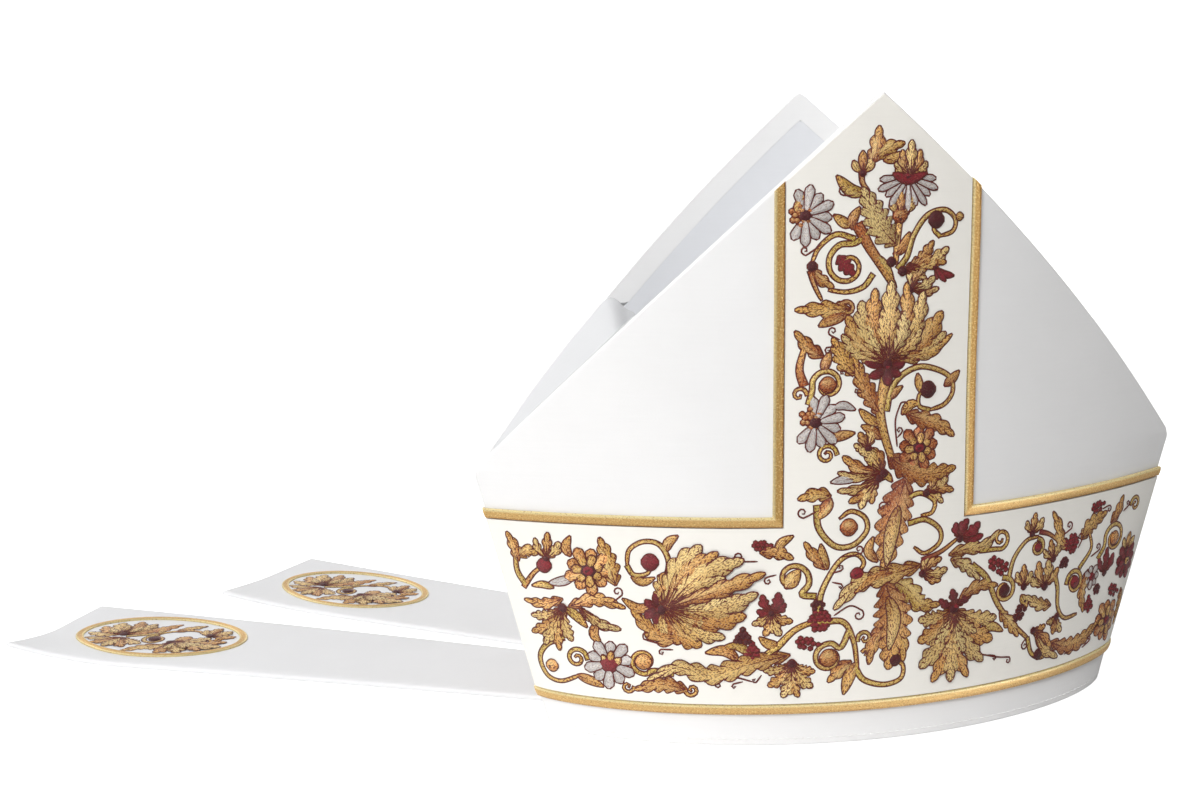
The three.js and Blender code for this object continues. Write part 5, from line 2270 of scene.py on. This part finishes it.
@dataclass
class Studio:
    """A pale floor that sweeps up behind, the lamps, and a dim sky that is seen as white."""

    near_y: float = -0.6
    far_y: float = 2.2
    half_width: float = 3.0
    bend: float = 0.8
    height: float = 3.2
    gap: float = 0.0002
    sky_left: float = 0.38
    sky_right: float = 0.02

    def sweep(self) -> Piece:
        """Makes the floor, which curves up into a backdrop at its far side.

        Returns:
            The floor.
        """
        turns = np.linspace(0, math.pi / 2, 17)
        level = np.linspace(self.near_y, self.far_y, 9)[:-1]
        y = np.concatenate([level, self.far_y + self.bend * np.sin(turns)])
        z = np.concatenate([0 * level, self.bend * (1 - np.cos(turns))])
        y, z = np.append(y, y[-1]), np.append(z, self.height)
        ends = (-self.half_width, self.half_width)
        points = [(x, float(a), float(b)) for a, b in zip(y, z) for x in ends]
        faces = [(2 * k, 2 * k + 1, 2 * k + 3, 2 * k + 2) for k in range(len(y) - 1)]
        mesh = bpy.data.meshes.new("floor")
        mesh.from_pydata(points, [], faces)
        mesh.shade_smooth()
        mesh.materials.append(FloorFinish("pale_floor", least=0.02).material())
        mesh.materials.append(FloorFinish("pale_backdrop", glow=1.0, least=1.0).material())
        for face in mesh.polygons:
            face.material_index = int(face.center.y > self.far_y * 0.6)
        floor = bpy.data.objects.new("floor", mesh)
        floor.location.z = -self.gap
        bpy.context.scene.collection.objects.link(floor)
        return floor

    def build(self) -> None:
        """Sets up the floor, the sky and the lamps."""
        self.sweep()
        world = bpy.data.worlds.new("sky")
        world.use_nodes = True
        nodes, links = world.node_tree.nodes, world.node_tree.links
        where = nodes.new("ShaderNodeTexCoord")
        parts = nodes.new("ShaderNodeSeparateXYZ")
        links.new(where.outputs["Generated"], parts.inputs["Vector"])
        fade = nodes.new("ShaderNodeMapRange")
        fade.inputs["From Min"].default_value = -0.9
        fade.inputs["From Max"].default_value = 0.7
        fade.inputs["To Min"].default_value = self.sky_left
        fade.inputs["To Max"].default_value = self.sky_right
        links.new(parts.outputs["X"], fade.inputs["Value"])
        seen = nodes.new("ShaderNodeLightPath")
        either = nodes.new("ShaderNodeMath")
        either.operation = "MAXIMUM"
        links.new(fade.outputs["Result"], either.inputs[0])
        links.new(seen.outputs["Is Camera Ray"], either.inputs[1])
        links.new(either.outputs[0], nodes["Background"].inputs["Strength"])
        nodes["Background"].inputs["Color"].default_value = (1.0, 1.0, 1.0, 1.0)
        bpy.context.scene.world = world
        for lamp in LAMPS:
            lamp.hang()
        view = bpy.context.scene.view_settings
        view.view_transform = "Standard"
        view.look = "None"
        view.exposure = 0.0


@dataclass
class Viewpoint:
    """The camera, by where it stands and which way it faces."""

    eye: Triple = (-0.2531, -0.6863, 0.2809)
    turn: float = 0.2053
    dip: float = 0.1835
    roll: float = -0.0106
    lens: float = 48.6
    shift: float = -0.004

    def build(self) -> None:
        """Sets up the camera and makes it the scene's."""
        a, e, c = self.turn, self.dip, self.roll
        ahead = Vector((math.sin(a) * math.cos(e), math.cos(a) * math.cos(e), -math.sin(e)))
        right = Vector((math.cos(a), -math.sin(a), 0))
        up = right.cross(ahead)
        side = right * math.cos(c) + up * math.sin(c)
        top = up * math.cos(c) - right * math.sin(c)
        data = bpy.data.cameras.new("camera")
        data.lens = self.lens
        data.sensor_width = 36.0
        data.shift_y = self.shift
        camera = bpy.data.objects.new("camera", data)
        axes = Matrix((side, top, -ahead)).transposed().to_4x4()
        camera.matrix_world = Matrix.Translation(Vector(self.eye)) @ axes
        bpy.context.scene.collection.objects.link(camera)
        bpy.context.scene.camera = camera


# ---------------------------------------------------------------- the whole mitre
class Mitre:
    """Builds every piece in order."""

    def __init__(self) -> None:
        """Starts with the form that all the pieces share."""
        self.form = MitreForm()
        self.wardrobe = Wardrobe()

    def panel(self, side: int) -> None:
        """Builds one panel with its lining, orphrey, braids and needlework.

        Args:
            side: FRONT or BACK.
        """
        prefix = prefix_of(side)
        face = PanelFace(self.form, side)
        dress = self.wardrobe.dress
        shell = dress(PanelShell(face).build(), WHITE_CLOTH)
        lining = dress(PanelLining(face).build(), GLOWING_LINING_CLOTH)
        facing = dress(PanelFacing(face).build(), GLOWING_FACING_CLOTH, "white_cloth")
        ground = dress(OrphreyGround(face).build(), ORPHREY_CLOTH)
        braids = [dress(braid, GOLD_BRAID) for braid in PanelBraids(face).build()]
        stitches = dress(RimStitches(face).build(), WHITE_CLOTH)
        chart = orphrey_upright() + band_middle() + band_left() + band_right()
        sewn = Needlework(f"{prefix}_needlework", face, chart, 1.1, self.inside_panel).build(self.wardrobe)
        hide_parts(f"{prefix}_shell")
        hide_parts(f"{prefix}_lining")
        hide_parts(f"{prefix}_facing")
        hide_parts(f"{prefix}_orphrey")
        for braid, node in zip(braids, ("braid_right", "braid_left", "braid_lower")):
            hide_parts(f"{prefix}_{node}")
        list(sewn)

    def inside_panel(self, u: Array, z: Array) -> tuple[Array, Array]:
        """Keeps stitches clear of the side seam and of the horn's free edges."""
        reach = np.maximum(self.form.half_cloth(z) - 1.5, 0.0)
        return np.clip(u, -reach, reach), z

    def crown(self) -> None:
        """Builds the web between the horns."""
        web = self.wardrobe.dress(CrownWeb(self.form).build(), SHADED_WEB_CLOTH, "lining_cloth")
        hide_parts("crown_gusset")

    def lappet(self, face: LappetFace) -> None:
        """Builds one lappet with its oval and its spray.

        Args:
            face: The lappet's form.
        """
        strip = self.wardrobe.dress(Lappet(face).build(), SHADED_LAPPET_CLOTH)
        oval = self.wardrobe.dress(OvalBraid(face).build(), GOLD_BRAID)
        spray = Needlework(f"{face.name}_spray", face, lappet_spray(), 0.05).build(self.wardrobe)
        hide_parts(face.name)
        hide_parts(f"{face.name}_ring")
        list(spray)

    def build(self) -> None:
        """Builds the panels, the crown and the lappets."""
        for side in (FRONT, BACK):
            self.panel(side)
        self.crown()
        self.lappet(LappetFace(self.form, "lappet_left", (-78, 30), (-370, 185.5), -2, 7))
        self.lappet(LappetFace(self.form, "lappet_right", (37, 25.5), (-258, 257.5), 4.5, 3))


def main() -> None:
    """Builds the mitre, the studio and the camera."""
    logging.basicConfig(level=logging.INFO, format="%(name)s: %(message)s")
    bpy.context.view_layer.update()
    Mitre().build()
    Studio().build()
    Viewpoint().build()


if __name__ == "__main__":
    main()
